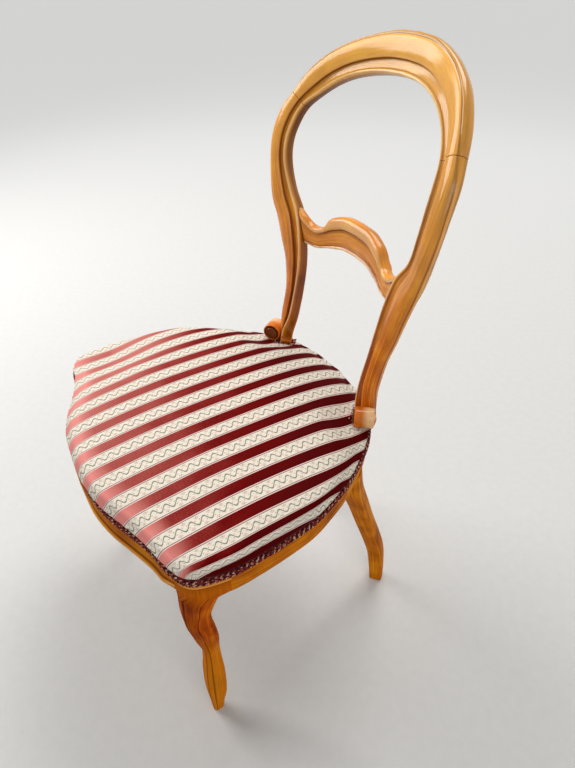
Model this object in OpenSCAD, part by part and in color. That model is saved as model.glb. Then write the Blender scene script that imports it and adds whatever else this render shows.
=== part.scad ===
// Balloon back chair: a horseshoe seat frame on two cabriole front legs and two raked back legs,
// with a hoop back of two posts, a crest rail and a low cross splat, and a sprung, striped seat.
// Millimetres. X is to the right, Y is to the back, Z is up. The chair faces -Y.

/* [Seat frame] */
// Width of the seat frame over its rails
seat_w = 520; // [460:1:580]
// Depth of the seat frame, front centre to back centre
seat_d = 421; // [410:1:444]
// Height of the top edge of the rails above the floor
rail_top = 410; // [380:1:450]
// Height of the rails
rail_h = 44; // [40:1:56]
// Thickness of the rails
rail_t = 26; // [24:1:30]
// Height of the bead along the lower edge of the front rail
bead_h = 7; // [4:1:12]
// How far that bead stands proud
bead_out = 1.5; // [1:0.5:4]

/* [Legs] */
// Half the thickness of a front leg at its knee
knee_half = 24; // [20:1:28]
// How far a front foot is set in from the knee, sideways
foot_inset = 34; // [20:1:50]
// How far a front foot is set back from the knee
foot_setback = 5; // [0:1:10]
// Height of the lip that the knee hangs from
lip_h = 20; // [12:1:28]
// How far that lip stands proud of the knee
lip_out = 2.5; // [1:0.5:4]
// Thickness of a back leg
back_leg_t = 27.5; // [24:0.5:32]
// How far a back foot rakes backward
back_leg_rake = 107; // [60:1:120]
// How far a back foot leans inward
back_leg_lean = 43; // [0:1:50]

/* [Back] */
// Width of the hoop over its outer front edges
hoop_w = 393; // [360:1:420]
// Height of the back above the rails
back_h = 481; // [440:1:540]
// How far the top of the back leans behind the foot of the posts
back_rake = 138; // [110:1:160]
// Distance from the foot of a post to the back of the seat frame
post_set_in = 46; // [43:1:53]
// Thickness of the posts and the crest rail
frame_t = 19; // [17:1:22]
// Radius of the scroll at the foot of a post
scroll_r = 15; // [12:0.5:16]
// Length of that scroll
scroll_l = 28; // [24:1:31]
// Turn of that scroll in plan, in degrees
scroll_turn = 52; // [40:1:60]
// Height of the cross splat at its middle
splat_h = 58; // [50:1:66]
// Height of the splat's underside above the rails
splat_rise = 184; // [170:1:196]
// How far the splat's middle lies behind its ends
splat_hollow = 24; // [10:1:30]
// Thickness of the cross splat
splat_t = 17; // [15:0.5:18]
// Radius of the turned button on a scroll
button_r = 10; // [6:0.5:11]
// How far a button stands proud of its scroll
button_out = 3; // [1:0.5:4]

/* [Seat] */
// Rise of the cushion's crown above the rails
crown_h = 47; // [35:1:60]
// Thickness of the cover with its wadding
cover_t = 3; // [2:0.5:4]
// How far the cover turns down over the rails
cover_down = 2; // [1:0.5:4]
// Height of the braid
gimp_h = 10; // [6:1:12]
// Thickness of the braid
gimp_t = 3; // [1.5:0.5:3.5]
// Width of a webbing strap
web_w = 50; // [35:1:55]
// Thickness of a webbing strap
web_t = 1.6; // [1:0.1:2.4]
// Distance between the middles of two straps that run from front to back
web_pitch_x = 104; // [96:1:110]
// Distance between the middles of two straps that run from side to side, as a share of the seat's depth
web_pitch_share = 0.18; // [0.166:0.002:0.196]
// Place of the middle strap that runs from side to side, as a share of the seat's depth
web_mid_share = 0.525; // [0.5:0.005:0.545]
// Diameter of a tack's head
tack_head_d = 6; // [4:0.5:8]
// Thickness of a tack's head
tack_head_h = 1; // [0.6:0.1:1.6]
// Diameter of a tack's shank
tack_d = 1.8; // [1.2:0.1:2.4]
// Length of a tack's shank
tack_l = 9; // [6:0.5:12]
// Radius of a seat spring at its ends
spring_r = 36; // [28:1:38]
// Radius of a seat spring at its waist
spring_waist_r = 24; // [18:1:28]
// Diameter of a seat spring's wire
spring_wire = 3.4; // [2.4:0.1:4]
// Turns of a seat spring
spring_turns = 4; // [3:1:5]
// Thickness of the hessian over the springs
hessian_t = 1.5; // [1:0.1:2.4]

/* [Joints] */
// Diameter of the dowels in the seat frame
dowel_d = 9; // [7:0.5:11]
// Length of the dowels in the seat frame
dowel_l = 34; // [28:1:40]
// Diameter of the dowels in the back
back_dowel_d = 7; // [5:0.5:8]
// Length of the dowels in the back
back_dowel_l = 30; // [24:1:34]
// Diameter of the round tenon under a post
post_tenon_d = 11; // [9:0.5:12]
// Diameter of the round tenon on a back leg
leg_tenon_d = 15; // [12:0.5:17]
// Length of a round tenon
tenon_l = 28; // [20:1:32]
// Play of a dowel, tenon, tack or screw in its hole
fit = 0.15; // [0.05:0.05:0.25]
// Air between the cloth pieces and their neighbours
cloth_gap = 0.25; // [0.1:0.05:0.4]
// Height of a corner block
block_h = 24; // [18:1:28]
// Width of a back corner block
block_w = 18; // [14:1:24]
// Diameter of a corner block screw
screw_d = 4; // [3:0.5:5]
// Diameter of that screw's head
screw_head_d = 8; // [6:0.5:9]
// Height of that screw's head
screw_head_h = 3; // [2:0.5:4]
// How far that screw bites into a rail
screw_bite = 17; // [12:1:20]

/* [Hidden] */
// Overrun of every cut
over = 1;
half_w = seat_w / 2;
post_y = seat_d - post_set_in;
web_pitch_y = web_pitch_share * seat_d;
web_mid_y = web_mid_share * seat_d;
hoop_half = hoop_w / 2;
rail_low = rail_top - rail_h;

// Points on a smooth curve through the knots of a list
function curve_at(list, s) =
    let (i = min(floor(s), len(list) - 2))
    let (t = s - i)
    let (b = list[i])
    let (c = list[i + 1])
    let (a = i == 0 ? 2 * b - c : list[i - 1])
    let (d = i + 2 > len(list) - 1 ? 2 * c - b : list[i + 2])
    b + t * (c - a) / 2 + t * t * (a - 2.5 * b + 2 * c - d / 2)
        + t * t * t * (1.5 * (b - c) + (d - a) / 2);
function unit(v) = v / norm(v);
function lerp(a, b, t) = a + (b - a) * t;
function mirrored(p) = [-p[0], p[1], p[2]];
function turned(p, a) = [p[0] * cos(a) - p[1] * sin(a), p[0] * sin(a) + p[1] * cos(a)];
function scaled(shares, size) = [for (s = shares) [for (k = [0:len(s) - 1]) s[k] * size[k]]];

// A closed skin over rings of equal length, each anticlockwise as seen from the last ring
module skin(rings) {
    n = len(rings[0]);
    m = len(rings);
    points = [for (r = rings) for (p = r) p];
    sides = [for (j = [0:m - 2]) for (i = [0:n - 1]) let (k = (i + 1) % n)
        for (f = [[j * n + i, j * n + n + i, j * n + k], [j * n + k, j * n + n + i, j * n + n + k]]) f];
    low = [[for (i = [0:n - 1]) i]];
    high = [[for (i = [0:n - 1]) m * n - 1 - i]];
    polyhedron(points, concat(sides, low, high), convexity = 6);
}
// Puts the Z axis along a direction
module along(direction) {
    rotate([0, acos(direction[2] / norm(direction)), atan2(direction[1], direction[0])]) children();
}

// Plan of the seat frame, right half from front centre to back centre, as shares of half width and depth
plan_shares = [[0, 0], [0.235, 0.006], [0.41, 0.029], [0.56, 0.064], [0.715, 0.099], [0.862, 0.12],
    [0.965, 0.158], [1, 0.262], [0.987, 0.361], [0.962, 0.46], [0.927, 0.556], [0.869, 0.639],
    [0.792, 0.727], [0.685, 0.817], [0.577, 0.89], [0.442, 0.947], [0.24, 0.986], [0, 1]];
plan_knots = scaled(plan_shares, [half_w, seat_d]);
at_leg_front = 5;
at_leg_side = 7;
at_back_joint = 12;
at_back = len(plan_knots) - 1;
plan_steps = 2;
function plan(s) = s < 0 ? let (p = curve_at(plan_knots, -s)) [-p[0], p[1]] : curve_at(plan_knots, s);
function plan_tangent(s) = abs(s) >= at_back ? [-1, 0] : let (e = 0.05) unit(plan(s + e) - plan(s - e));
function plan_normal(s) = let (t = plan_tangent(s)) [t[1], -t[0]];
function inset(s, d) = plan(s) - d * plan_normal(s);
function inset_run(from, to, d) = [for (i = [from * plan_steps:sign(to - from):to * plan_steps])
    inset(i / plan_steps, d)];
function band(from, to, near, far) = concat(inset_run(from, to, near), inset_run(to, from, far));
// Closed outline of the whole frame, anticlockwise from the left of the back
function outline(d) = [for (i = [1 - at_back * plan_steps:at_back * plan_steps]) inset(i / plan_steps, d)];
// Place on the outline between two others where coordinate k is v
function seek(k, v, lo, hi, n = 20) = let (m = (lo + hi) / 2)
    n == 0 ? m : (plan(m)[k] - v) * (plan(hi)[k] - v) <= 0 ? seek(k, v, m, hi, n - 1)
        : seek(k, v, lo, m, n - 1);

// The two front edges of the back frame, from the foot of the right post to the top of the hoop.
// Each row is a share of the hoop's half width, of the rake and of the back's height.
inner_edge_shares = [[0.59, 0, 0], [0.555, 0.025, 0.073], [0.524, 0.095, 0.135], [0.528, 0.172, 0.221],
    [0.538, 0.235, 0.312], [0.568, 0.27, 0.392], [0.633, 0.292, 0.476], [0.745, 0.3, 0.541],
    [0.811, 0.283, 0.621], [0.824, 0.315, 0.687], [0.804, 0.392, 0.745], [0.765, 0.472, 0.786],
    [0.675, 0.577, 0.82], [0.569, 0.663, 0.852], [0.449, 0.736, 0.876], [0.306, 0.808, 0.892],
    [0.153, 0.859, 0.9], [0, 0.873, 0.903]];
outer_edge_shares = [[0.7, 0.13, 0], [0.686, 0.125, 0.073], [0.673, 0.116, 0.135], [0.68, 0.174, 0.221],
    [0.735, 0.207, 0.304], [0.79, 0.2, 0.368], [0.855, 0.196, 0.44], [0.92, 0.181, 0.504],
    [0.98, 0.218, 0.608], [1, 0.268, 0.69], [0.98, 0.357, 0.759], [0.911, 0.464, 0.815],
    [0.825, 0.576, 0.872], [0.695, 0.71, 0.923], [0.54, 0.826, 0.957], [0.37, 0.924, 0.98],
    [0.184, 0.985, 0.996], [0, 1, 1]];
back_size = [hoop_half, back_rake, back_h];
post_foot = [0, post_y, rail_top];
inner_edge = scaled(inner_edge_shares, back_size);
outer_edge = scaled(outer_edge_shares, back_size);
at_crest = 11;
at_top = len(inner_edge) - 1;
frame_steps = 2;
// Section of the frame from its inner front edge: share of the width outward, share of the thickness forward
frame_section_shares = [[0, -0.1], [0.06, 0.04], [0.13, -0.02], [0.24, -0.15], [0.36, -0.2], [0.41, 0.04],
    [0.56, 0.13], [0.76, 0.14], [0.93, 0.07], [1, -0.1], [1.02, -0.45], [0.96, -0.8], [0.82, -1],
    [0.12, -1], [0, -0.85]];
function edge_point(edge, s) = s > at_top ? mirrored(curve_at(edge, 2 * at_top - s)) : curve_at(edge, s);
function frame_mid(s) = (edge_point(inner_edge, s) + edge_point(outer_edge, s)) / 2;
function frame_out(s) = edge_point(outer_edge, s) - edge_point(inner_edge, s);
function frame_run(s) = let (e = 0.1)
    s == at_top ? [-1, 0, 0] : s < e ? [0, 0, 1] : unit(frame_mid(s + e) - frame_mid(s - e));
function frame_ahead(s) = unit(cross(frame_out(s), frame_run(s)));
// Place in the frame: share of the width outward, share of the thickness forward
function in_frame(s, p) =
    post_foot + edge_point(inner_edge, s) + p[0] * frame_out(s) + p[1] * frame_t * frame_ahead(s);
function frame_ring(s) = [for (p = frame_section_shares) in_frame(s, p)];
module frame_piece(from, to) {
    skin([for (i = [from * frame_steps:to * frame_steps]) frame_ring(i / frame_steps)]);
}

// Dowels of the seat frame, across the joint at a place on the outline
rail_dowel_shares = [0.28, 0.72];
module rail_joint(s, play) {
    for (h = rail_dowel_shares)
        translate(concat(inset(s, rail_t / 2), rail_low + h * rail_h))
            along(concat(plan_tangent(s), 0))
                cylinder(d = dowel_d + 2 * play, h = dowel_l + 2 * play, center = true, $fn = 24);
}
// Dowels between a post and the crest rail
crest_dowel_shares = [[0.36, -0.58], [0.7, -0.5]];
module crest_joint(play) {
    direction = cross(frame_ahead(at_crest), frame_out(at_crest));
    for (p = crest_dowel_shares)
        translate(in_frame(at_crest, p)) along(direction)
            cylinder(d = back_dowel_d + 2 * play, h = back_dowel_l + 2 * play, center = true, $fn = 20);
}

// Cross splat: rows from its middle outward. Shares of the hoop's half width, of the splat's hollow and
// of its thickness, then shares of its height for its lower edge, its groove and its top.
splat_shares = [[0, 1, 1, 0.28, 0.83, 1.13], [0.15, 0.95, 1, 0.25, 0.8, 1.11], [0.28, 0.78, 1, 0.15, 0.65, 0.95],
    [0.36, 0.63, 0.97, 0.07, 0.5, 0.75], [0.43, 0.46, 0.92, 0, 0.4, 0.58], [0.51, 0.27, 0.86, 0, 0.44, 0.55],
    [0.58, 0.08, 0.8, 0.03, 0.58, 0.7], [0.66, 0, 0.76, 0.12, 0.75, 0.88]];
splat_front_share = 0.305;
splat_front_y = post_y + splat_front_share * back_rake;
splat_knots = scaled(splat_shares, [hoop_half, splat_hollow, splat_t, splat_h, splat_h, splat_h]);
splat_steps = 2;
// Section of the splat: share of the thickness to the back, then its height between two of the row's heights
splat_section_shares = [[1, 0, 0.1], [0.05, 0, 0], [-0.08, 0, 0.07], [0, 0, 0.16], [-0.03, 0, 0.55],
    [0.08, 1, 0], [-0.14, 1, 0.25], [-0.1, 1, 0.65], [0.2, 1, 1], [0.7, 1, 0.94], [1, 1, 0.6], [1, 0, 0.6]];
function splat_ring(s) = let (r = curve_at(splat_knots, abs(s)))
    [for (p = splat_section_shares) [s < 0 ? -r[0] : r[0], splat_front_y + r[1] + p[0] * r[2],
        rail_top + splat_rise + lerp(r[3 + p[1]], r[4 + p[1]], p[2])]];
splat_dowel_shares = [0.14, 0.36];
splat_dowel_place_share = [0.6, 0.39];
splat_dowel_turn = -12;
module splat_joint(play) {
    for (h = splat_dowel_shares)
        translate([splat_dowel_place_share[0] * hoop_half, splat_front_y + splat_dowel_place_share[1] * splat_t,
            rail_top + splat_rise + h * splat_h])
            rotate([0, 90, splat_dowel_turn])
                cylinder(d = back_dowel_d + 2 * play, h = back_dowel_l + 2 * play, center = true, $fn = 20);
}

// The room beside the splat that belongs to a post: flat faces along the post's inner edge
beside_from = 4;
beside_to = 8;
inner_corner_share = [0, -0.1];
module beside_post() {
    run = [for (i = [beside_from * frame_steps:beside_to * frame_steps])
        let (p = in_frame(i / frame_steps, inner_corner_share)) [p[0] - fit, p[2]]];
    far = run[0][0] + hoop_half;
    deep = post_y + back_rake;
    rotate([90, 0, 0]) translate([0, 0, -deep]) linear_extrude(deep)
        polygon(concat([[far, run[0][1]], [far, run[len(run) - 1][1]]],
            [for (i = [len(run) - 1:-1:0]) run[i]]));
}

// Round tenon under a post, in the section of the post's foot
post_tenon_share = [0.3, -0.48];
module post_tenon(play) {
    translate(in_frame(0, post_tenon_share) - [0, 0, tenon_l + play])
        cylinder(d = post_tenon_d + 2 * play, h = tenon_l + play + over, $fn = 28);
}
// Scroll at the foot of a post: its middle in shares of the hoop's half width, the rake and the back's height
scroll_mid_share = [0.696, 0.018, 0.052];
scroll_mid = post_foot + [for (k = [0:2]) scroll_mid_share[k] * back_size[k]];
module on_scroll() {
    translate(scroll_mid) rotate([0, 0, scroll_turn]) rotate([0, 90, 0]) children();
}
// Foot of a post in plan, grown by a gap and carried on to the outside of the frame
foot_reach = 2 * rail_t;
// How far the post moves in plan within the height of the braid
foot_lean = let (d = edge_point(inner_edge, gimp_h / inner_edge[1][2]) - inner_edge[0]) norm([d[0], d[1]]);
module post_plan(space) {
    gap = space + foot_lean;
    a = in_frame(0, [0, 0]);
    out = unit(frame_out(0));
    back = -frame_ahead(0);
    corner = a - gap * out - gap * back;
    w = norm(frame_out(0)) + foot_reach;
    t = frame_t + 2 * gap;
    polygon([for (p = [corner, corner + w * out, corner + w * out + t * back, corner + t * back])
        [p[0], p[1]]]);
}
// Space that a post and its scroll take out of the seat
module post_space(gap) {
    translate([0, 0, rail_low]) linear_extrude(rail_h + 2 * crown_h) post_plan(gap);
    on_scroll() cylinder(r = scroll_r + gap, h = scroll_l + 2 * gap, center = true, $fn = 32);
}
module both() {
    children();
    mirror([1, 0, 0]) children();
}

module front_rail() {
    color("peru") difference() {
        union() {
            translate([0, 0, rail_low]) linear_extrude(rail_h)
                polygon(band(-at_leg_front, at_leg_front, 0, rail_t));
            translate([0, 0, rail_low]) linear_extrude(bead_h)
                polygon(band(-at_leg_front, at_leg_front, -bead_out, rail_t));
        }
        both() rail_joint(at_leg_front, fit);
        both() screw_holes();
        tack_holes();
    }
}
module side_rail() {
    color("peru") difference() {
        translate([0, 0, rail_low]) linear_extrude(rail_h) polygon(band(at_leg_side, at_back_joint, 0, rail_t));
        rail_joint(at_leg_side, fit);
        rail_joint(at_back_joint, fit);
        screw_holes();
        tack_holes();
    }
}
module back_rail() {
    right = inset_run(at_back_joint, at_back, 0);
    right_in = inset_run(at_back_joint, at_back, rail_t);
    color("peru") difference() {
        translate([0, 0, rail_low]) linear_extrude(rail_h) polygon(concat(
            right,
            [for (i = [len(right) - 2:-1:0]) [-right[i][0], right[i][1]]],
            [for (i = [0:len(right) - 1]) [-right_in[i][0], right_in[i][1]]],
            [for (i = [len(right) - 2:-1:0]) right_in[i]]));
        both() rail_joint(at_back_joint, fit);
        both() post_tenon(fit);
        both() leg_tenon(fit);
        both() screw_holes();
        tack_holes();
    }
}

// Front leg: rows of height, inset, setback, half thickness and cut corner, all as shares
leg_shares = [[0.975, 0, -0.5, 0.95, 0.85], [0.93, 0.03, -1, 0.83, 0.8], [0.86, 0.12, -1.6, 0.71, 0.75],
    [0.8, 0.2, -1.3, 0.69, 0.65], [0.73, 0.32, -0.4, 0.68, 0.55], [0.63, 0.55, 0.8, 0.63, 0.5],
    [0.52, 0.9, 1.9, 0.53, 0.45], [0.44, 1.12, 2.6, 0.48, 0.4], [0.35, 1.2, 2.8, 0.52, 0.4],
    [0.27, 1.15, 2.6, 0.6, 0.4], [0.15, 1.03, 2.2, 0.58, 0.4], [0.055, 1, 1.9, 0.4, 0.45],
    [0, 1, 1.8, 0.32, 0.45]];
knee = inset((at_leg_front + at_leg_side) / 2, knee_half);
function leg_section(cut) = [[-0.85, -0.9], [-0.1, -1], [1 - cut, -1], [1 - cut / 2.6, cut / 2.6 - 1],
    [1, cut - 1], [1, 0.1], [0.9, 0.85], [0.5, 1], [-0.3, 0.95], [-0.8, 0.8], [-0.95, 0.3], [-1, -0.4]];
function leg_ring(row) = let (shift = [-row[1] * foot_inset, row[2] * foot_setback])
    [for (p = leg_section(row[4])) concat(knee + shift + row[3] * knee_half * p, row[0] * rail_low)];
// Points on the straight runs between the stations of the outline
function on_outline(s, d) = let (i = floor(s * plan_steps)) let (t = s * plan_steps - i)
    lerp(inset(i / plan_steps, d), inset((i + 1) / plan_steps, d), t);
function block_ring(z, d) =
    let (outer = [for (k = [0:6]) on_outline(at_leg_front + k * (at_leg_side - at_leg_front) / 6, d)])
    let (a = inset(at_leg_side, rail_t))
    let (b = inset(at_leg_front, rail_t))
    [for (p = concat(outer, [for (k = [0:4]) lerp(a, b, k / 4)])) concat(p, z)];
module front_leg() {
    lip_low = rail_top - lip_h;
    color("sienna") difference() {
        skin(concat([for (i = [len(leg_shares) - 1:-1:0]) leg_ring(leg_shares[i])],
            [block_ring(rail_low, lip_out), block_ring(lip_low - lip_out, lip_out), block_ring(lip_low, 0),
                block_ring(rail_top, 0)]));
        rail_joint(at_leg_front, fit);
        rail_joint(at_leg_side, fit);
    }
}

// Back leg: rows of height, lean, rake and thickness, all as shares
back_leg_shares = [[0, 1, 1, 0.82], [0.08, 1.04, 0.99, 0.9], [0.23, 1, 0.915, 0.98], [0.38, 0.9, 0.75, 1],
    [0.55, 0.72, 0.53, 1], [0.7, 0.52, 0.34, 1.02], [0.87, 0.2, 0.11, 1.06], [1, 0, 0, 1.08]];
back_leg_section_shares = [[-0.3, -0.5], [0.3, -0.5], [0.5, -0.3], [0.5, 0.3], [0.3, 0.5], [-0.3, 0.5],
    [-0.5, 0.3], [-0.5, -0.3]];
at_back_leg = 13.25;
back_leg_top_share = 0.55;
back_leg_top = inset(at_back_leg, back_leg_top_share * rail_t);
back_leg_turn = -46;
module leg_tenon(play) {
    translate(concat(back_leg_top, rail_low - over))
        cylinder(d = leg_tenon_d + 2 * play, h = tenon_l + play + over, $fn = 32);
}
module back_leg() {
    color("peru") union() {
        skin([for (row = back_leg_shares)
            [for (p = back_leg_section_shares)
                concat(back_leg_top + [-row[1] * back_leg_lean, row[2] * back_leg_rake]
                    + back_leg_t * row[3] * turned(p, back_leg_turn), row[0] * rail_low)]]);
        leg_tenon(0);
    }
}

module post_body() {
    frame_piece(0, at_crest);
    on_scroll() cylinder(r = scroll_r, h = scroll_l, center = true, $fn = 48);
}
module post() {
    color("peru") difference() {
        union() {
            post_body();
            post_tenon(0);
        }
        crest_joint(fit);
        splat_joint(fit);
    }
}
module crest_rail() {
    color("peru") difference() {
        frame_piece(at_crest, 2 * at_top - at_crest);
        both() crest_joint(fit);
    }
}
module cross_splat() {
    last = (len(splat_knots) - 1) * splat_steps;
    color("burlywood") difference() {
        skin([for (i = [last:-1:-last]) splat_ring(i / splat_steps)]);
        both() beside_post();
        both() splat_joint(fit);
    }
}
module scroll_buttons() {
    color("saddlebrown") both() on_scroll()
        translate([0, 0, -scroll_l / 2 - button_out]) cylinder(r = button_r, h = button_out, $fn = 32);
}
module rail_dowels() {
    color("tan") both() {
        rail_joint(at_leg_front, 0);
        rail_joint(at_leg_side, 0);
        rail_joint(at_back_joint, 0);
    }
}
module crest_dowels() {
    color("tan") both() crest_joint(0);
}
module splat_dowels() {
    color("tan") both() splat_joint(0);
}

// Corner blocks: a block behind each front leg, and one across each joint of the side and back rails
block_low = rail_low + (rail_h - block_h) / 2;
block_end_front = 4;
block_end_side = 8;
block_back_half = 1;
block_front_plan = concat(inset_run(block_end_front, at_leg_front, rail_t),
    inset_run(at_leg_side, block_end_side, rail_t));
block_back_plan = concat(inset_run(at_back_joint - block_back_half, at_back_joint + block_back_half, rail_t),
    [for (k = [1, -1]) inset(at_back_joint + k * block_back_half / 2, rail_t + block_w)]);
module corner_blocks() {
    color("wheat") difference() {
        both() translate([0, 0, block_low]) {
            linear_extrude(block_h) polygon(block_front_plan);
            linear_extrude(block_h) polygon(block_back_plan);
        }
        both() screw_holes();
    }
}
function cross2(a, b) = a[0] * b[1] - a[1] * b[0];
// Distance from the rail's inner face to the free face of a block whose ends are a and b
function block_depth(s, a, b) = let (p = inset(s, rail_t)) let (n = -plan_normal(s))
    cross2(a - p, b - a) / cross2(n, b - a);
// Each screw starts in a block's free face and runs into the rail at a place on the outline
screw_sunk = screw_head_d / 2;
module at_screws() {
    for (k = [0:len(screw_places) - 1]) {
        s = screw_places[k][0];
        depth = screw_places[k][1];
        translate(concat(inset(s, rail_t + depth - screw_sunk), block_low + block_h / 2))
            along(concat(plan_normal(s), 0)) {
                $depth = depth;
                children();
            }
    }
}
screw_front_at = 4.5;
screw_side_at = 7.5;
screw_back_off = 0.45;
screw_places = let (a = block_front_plan[0]) let (b = block_front_plan[len(block_front_plan) - 1]) concat(
    [for (s = [screw_front_at, screw_side_at]) [s, block_depth(s, a, b)]],
    [for (k = [-1, 1]) [at_back_joint + k * screw_back_off, block_w]]);
module screw_holes() {
    at_screws() {
        translate([0, 0, -screw_sunk - over])
            cylinder(d = screw_head_d + 2 * fit, h = screw_sunk + over + screw_head_h + fit, $fn = 24);
        cylinder(d = screw_d + 2 * fit, h = $depth - screw_sunk + screw_bite + fit, $fn = 16);
    }
}
module corner_block_screws() {
    color("darkgray") both() at_screws() {
        cylinder(d = screw_head_d, h = screw_head_h, $fn = 24);
        cylinder(d = screw_d, h = $depth - screw_sunk + screw_bite, $fn = 16);
    }
}

// Webbing: three straps from front to back, and three across them that pass over and under
web_margin = 9;
strap_x = [-web_pitch_x, 0, web_pitch_x];
strap_y = [web_mid_y - web_pitch_y, web_mid_y, web_mid_y + web_pitch_y];
function front_y(x) = plan(seek(0, abs(x), 0, at_leg_front))[1];
function back_y(x) = plan(seek(0, abs(x), at_back_joint, at_back))[1];
function side_x(y) = plan(seek(1, y, at_leg_side, at_back - 1))[0];
strap_front = [for (x = strap_x) front_y(x) + web_margin];
strap_back = [for (x = strap_x) back_y(abs(x) + web_w / 2) - web_margin];
strap_half = [for (y = strap_y) side_x(y + web_w / 2) - web_margin];
module webbing_lengthwise() {
    color("tan") difference() {
        for (i = [0:2]) translate([strap_x[i] - web_w / 2, strap_front[i], rail_low - web_t])
            cube([web_w, strap_back[i] - strap_front[i], web_t]);
        tack_holes();
    }
}
// Height of a cross strap along its run, as [x, z] from a flat end over each crossing to the other end
web_ramp_share = 0.16;
function strap_run(j) = concat([[-strap_half[j], 0]],
    [for (i = [0:2]) let (z = (i + j) % 2 == 0 ? web_t : -web_t) let (h = web_w / 2 + over)
        for (p = [[-h - web_ramp_share * web_w, 0], [-h, z], [h, z], [h + web_ramp_share * web_w, 0]])
            [strap_x[i] + p[0], p[1]]],
    [[strap_half[j], 0]]);
module webbing_crosswise() {
    color("tan") difference() {
        for (j = [0:2]) let (run = strap_run(j))
            translate([0, strap_y[j] + web_w / 2, rail_low - web_t]) rotate([90, 0, 0]) linear_extrude(web_w)
                polygon(concat(run, [for (k = [len(run) - 1:-1:0]) run[k] + [0, web_t]]));
        tack_holes();
    }
}
// Tacks at both ends of each strap
tack_side_share = 0.28;
tack_in = 7;
module at_tacks() {
    for (k = [-1, 1]) {
        for (i = [0:2]) {
            translate([strap_x[i] + k * tack_side_share * web_w, strap_front[i] + tack_in, rail_low])
                children();
            translate([strap_x[i] + k * tack_side_share * web_w, strap_back[i] - tack_in, rail_low])
                children();
        }
        for (j = [0:2], m = [-1, 1])
            translate([m * (strap_half[j] - tack_in), strap_y[j] + k * tack_side_share * web_w, rail_low])
                children();
    }
}
module tack_holes() {
    at_tacks() translate([0, 0, -web_t - over])
        cylinder(d = tack_d + 2 * fit, h = over + web_t + tack_l + fit, $fn = 14);
}
module webbing_tacks() {
    color("dimgray") at_tacks() {
        translate([0, 0, -web_t - tack_head_h]) cylinder(d = tack_head_d, h = tack_head_h, $fn = 16);
        translate([0, 0, -web_t - tack_head_h / 2])
            cylinder(d = tack_d, h = tack_head_h / 2 + web_t + tack_l, $fn = 14);
    }
}

// Seat springs: a waisted helix between the webbing and the hessian
spring_sides = 6;
spring_rings = 8;
spring_low = rail_low + web_t + cloth_gap;
spring_h = rail_top - cloth_gap - spring_low;
function spring_mid(t) = let (a = 360 * spring_turns * t) let (w = 1 - pow(2 * t - 1, 2))
    let (r = lerp(spring_r - spring_wire / 2, spring_waist_r, w))
    [r * cos(a), r * sin(a), spring_wire / 2 + t * (spring_h - spring_wire)];
function spring_ring(t) = let (a = 360 * spring_turns * t) let (m = spring_mid(t))
    [for (k = [0:spring_sides - 1]) let (b = 360 * k / spring_sides)
        m + spring_wire / 2 * [cos(b) * cos(a), cos(b) * sin(a), sin(b)]];
spring_count = spring_turns * spring_rings;
module spring() {
    skin([for (i = [spring_count:-1:0]) spring_ring(i / spring_count)]);
}
spring_places = concat([[0, web_mid_y]],
    [for (i = [-1, 1], j = [-1, 1]) [i * web_pitch_x, web_mid_y + j * web_pitch_y]]);
module seat_springs() {
    color("slategray") for (p = spring_places) translate(concat(p, spring_low)) spring();
}
// Least gap between one turn of a spring and the next, on its ring points
spring_gap = min([for (i = [0:spring_count - spring_rings])
    norm(spring_mid((i + spring_rings) / spring_count) - spring_mid(i / spring_count))]) - spring_wire;
echo(least_gap_between_spring_turns = spring_gap);

// Seat: rows from the middle to the rim. Share of the way out, share of the crown's height.
cover_shares = [[0.05, 1], [0.3, 0.98], [0.5, 0.925], [0.66, 0.84], [0.79, 0.715], [0.89, 0.56],
    [0.955, 0.38], [0.99, 0.2], [1, 0.07], [1, 0]];
seat_mid_share = 0.473;
seat_mid = [0, seat_mid_share * seat_d];
hem_low = rail_top - cover_down;
// One ring of the seat: row of the table, how far out of the outline, and how far below the cover
function seat_ring(row, out, down) = [for (p = outline(-out))
    let (z = hem_low + row[1] * (crown_h + cover_down)) concat(lerp(seat_mid, p, row[0]), z - down)];
// Air round the foot of a post, with the braid's strip in it
notch_gap = 3 * cloth_gap + gimp_t;
// Rows that the cover's lining and the stuffing under it share
lining_rows = [for (i = [0:2:len(cover_shares) - 3]) cover_shares[i]];
module seat_cover() {
    color("mistyrose") difference() {
        skin(concat(
            [for (row = lining_rows) seat_ring(row, cloth_gap, cover_t)],
            [for (z = [rail_top + cloth_gap, hem_low]) [for (p = outline(-cloth_gap)) concat(p, z)]],
            [for (i = [len(cover_shares) - 1:-1:0]) seat_ring(cover_shares[i], cover_t, 0)]));
        both() post_space(notch_gap);
    }
}
module stuffing_pad() {
    color("burlywood") difference() {
        skin(concat(
            [[for (p = outline(cover_t)) concat(p, rail_top + hessian_t)]],
            [for (i = [len(lining_rows) - 1:-1:0])
                seat_ring(lining_rows[i], -cloth_gap, cover_t + cloth_gap)]));
        both() post_space(notch_gap + cloth_gap);
    }
}
module spring_hessian() {
    color("tan") difference() {
        translate([0, 0, rail_top]) linear_extrude(hessian_t) polygon(outline(cover_t));
        both() post_space(notch_gap + cloth_gap);
    }
}
// Braid: a band under the cover's edge, and a strip round the foot of each post
module gimp_braid() {
    color("darkred") {
        translate([0, 0, hem_low - gimp_h]) linear_extrude(gimp_h) difference() {
            polygon(outline(-gimp_t));
            polygon(outline(0));
        }
        both() difference() {
            translate([0, 0, rail_top]) linear_extrude(gimp_h) intersection() {
                difference() {
                    post_plan(2 * cloth_gap + gimp_t);
                    post_plan(2 * cloth_gap);
                }
                polygon(outline(0));
            }
            on_scroll()
                cylinder(r = scroll_r + cloth_gap, h = scroll_l + 2 * cloth_gap, center = true, $fn = 32);
        }
    }
}

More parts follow.
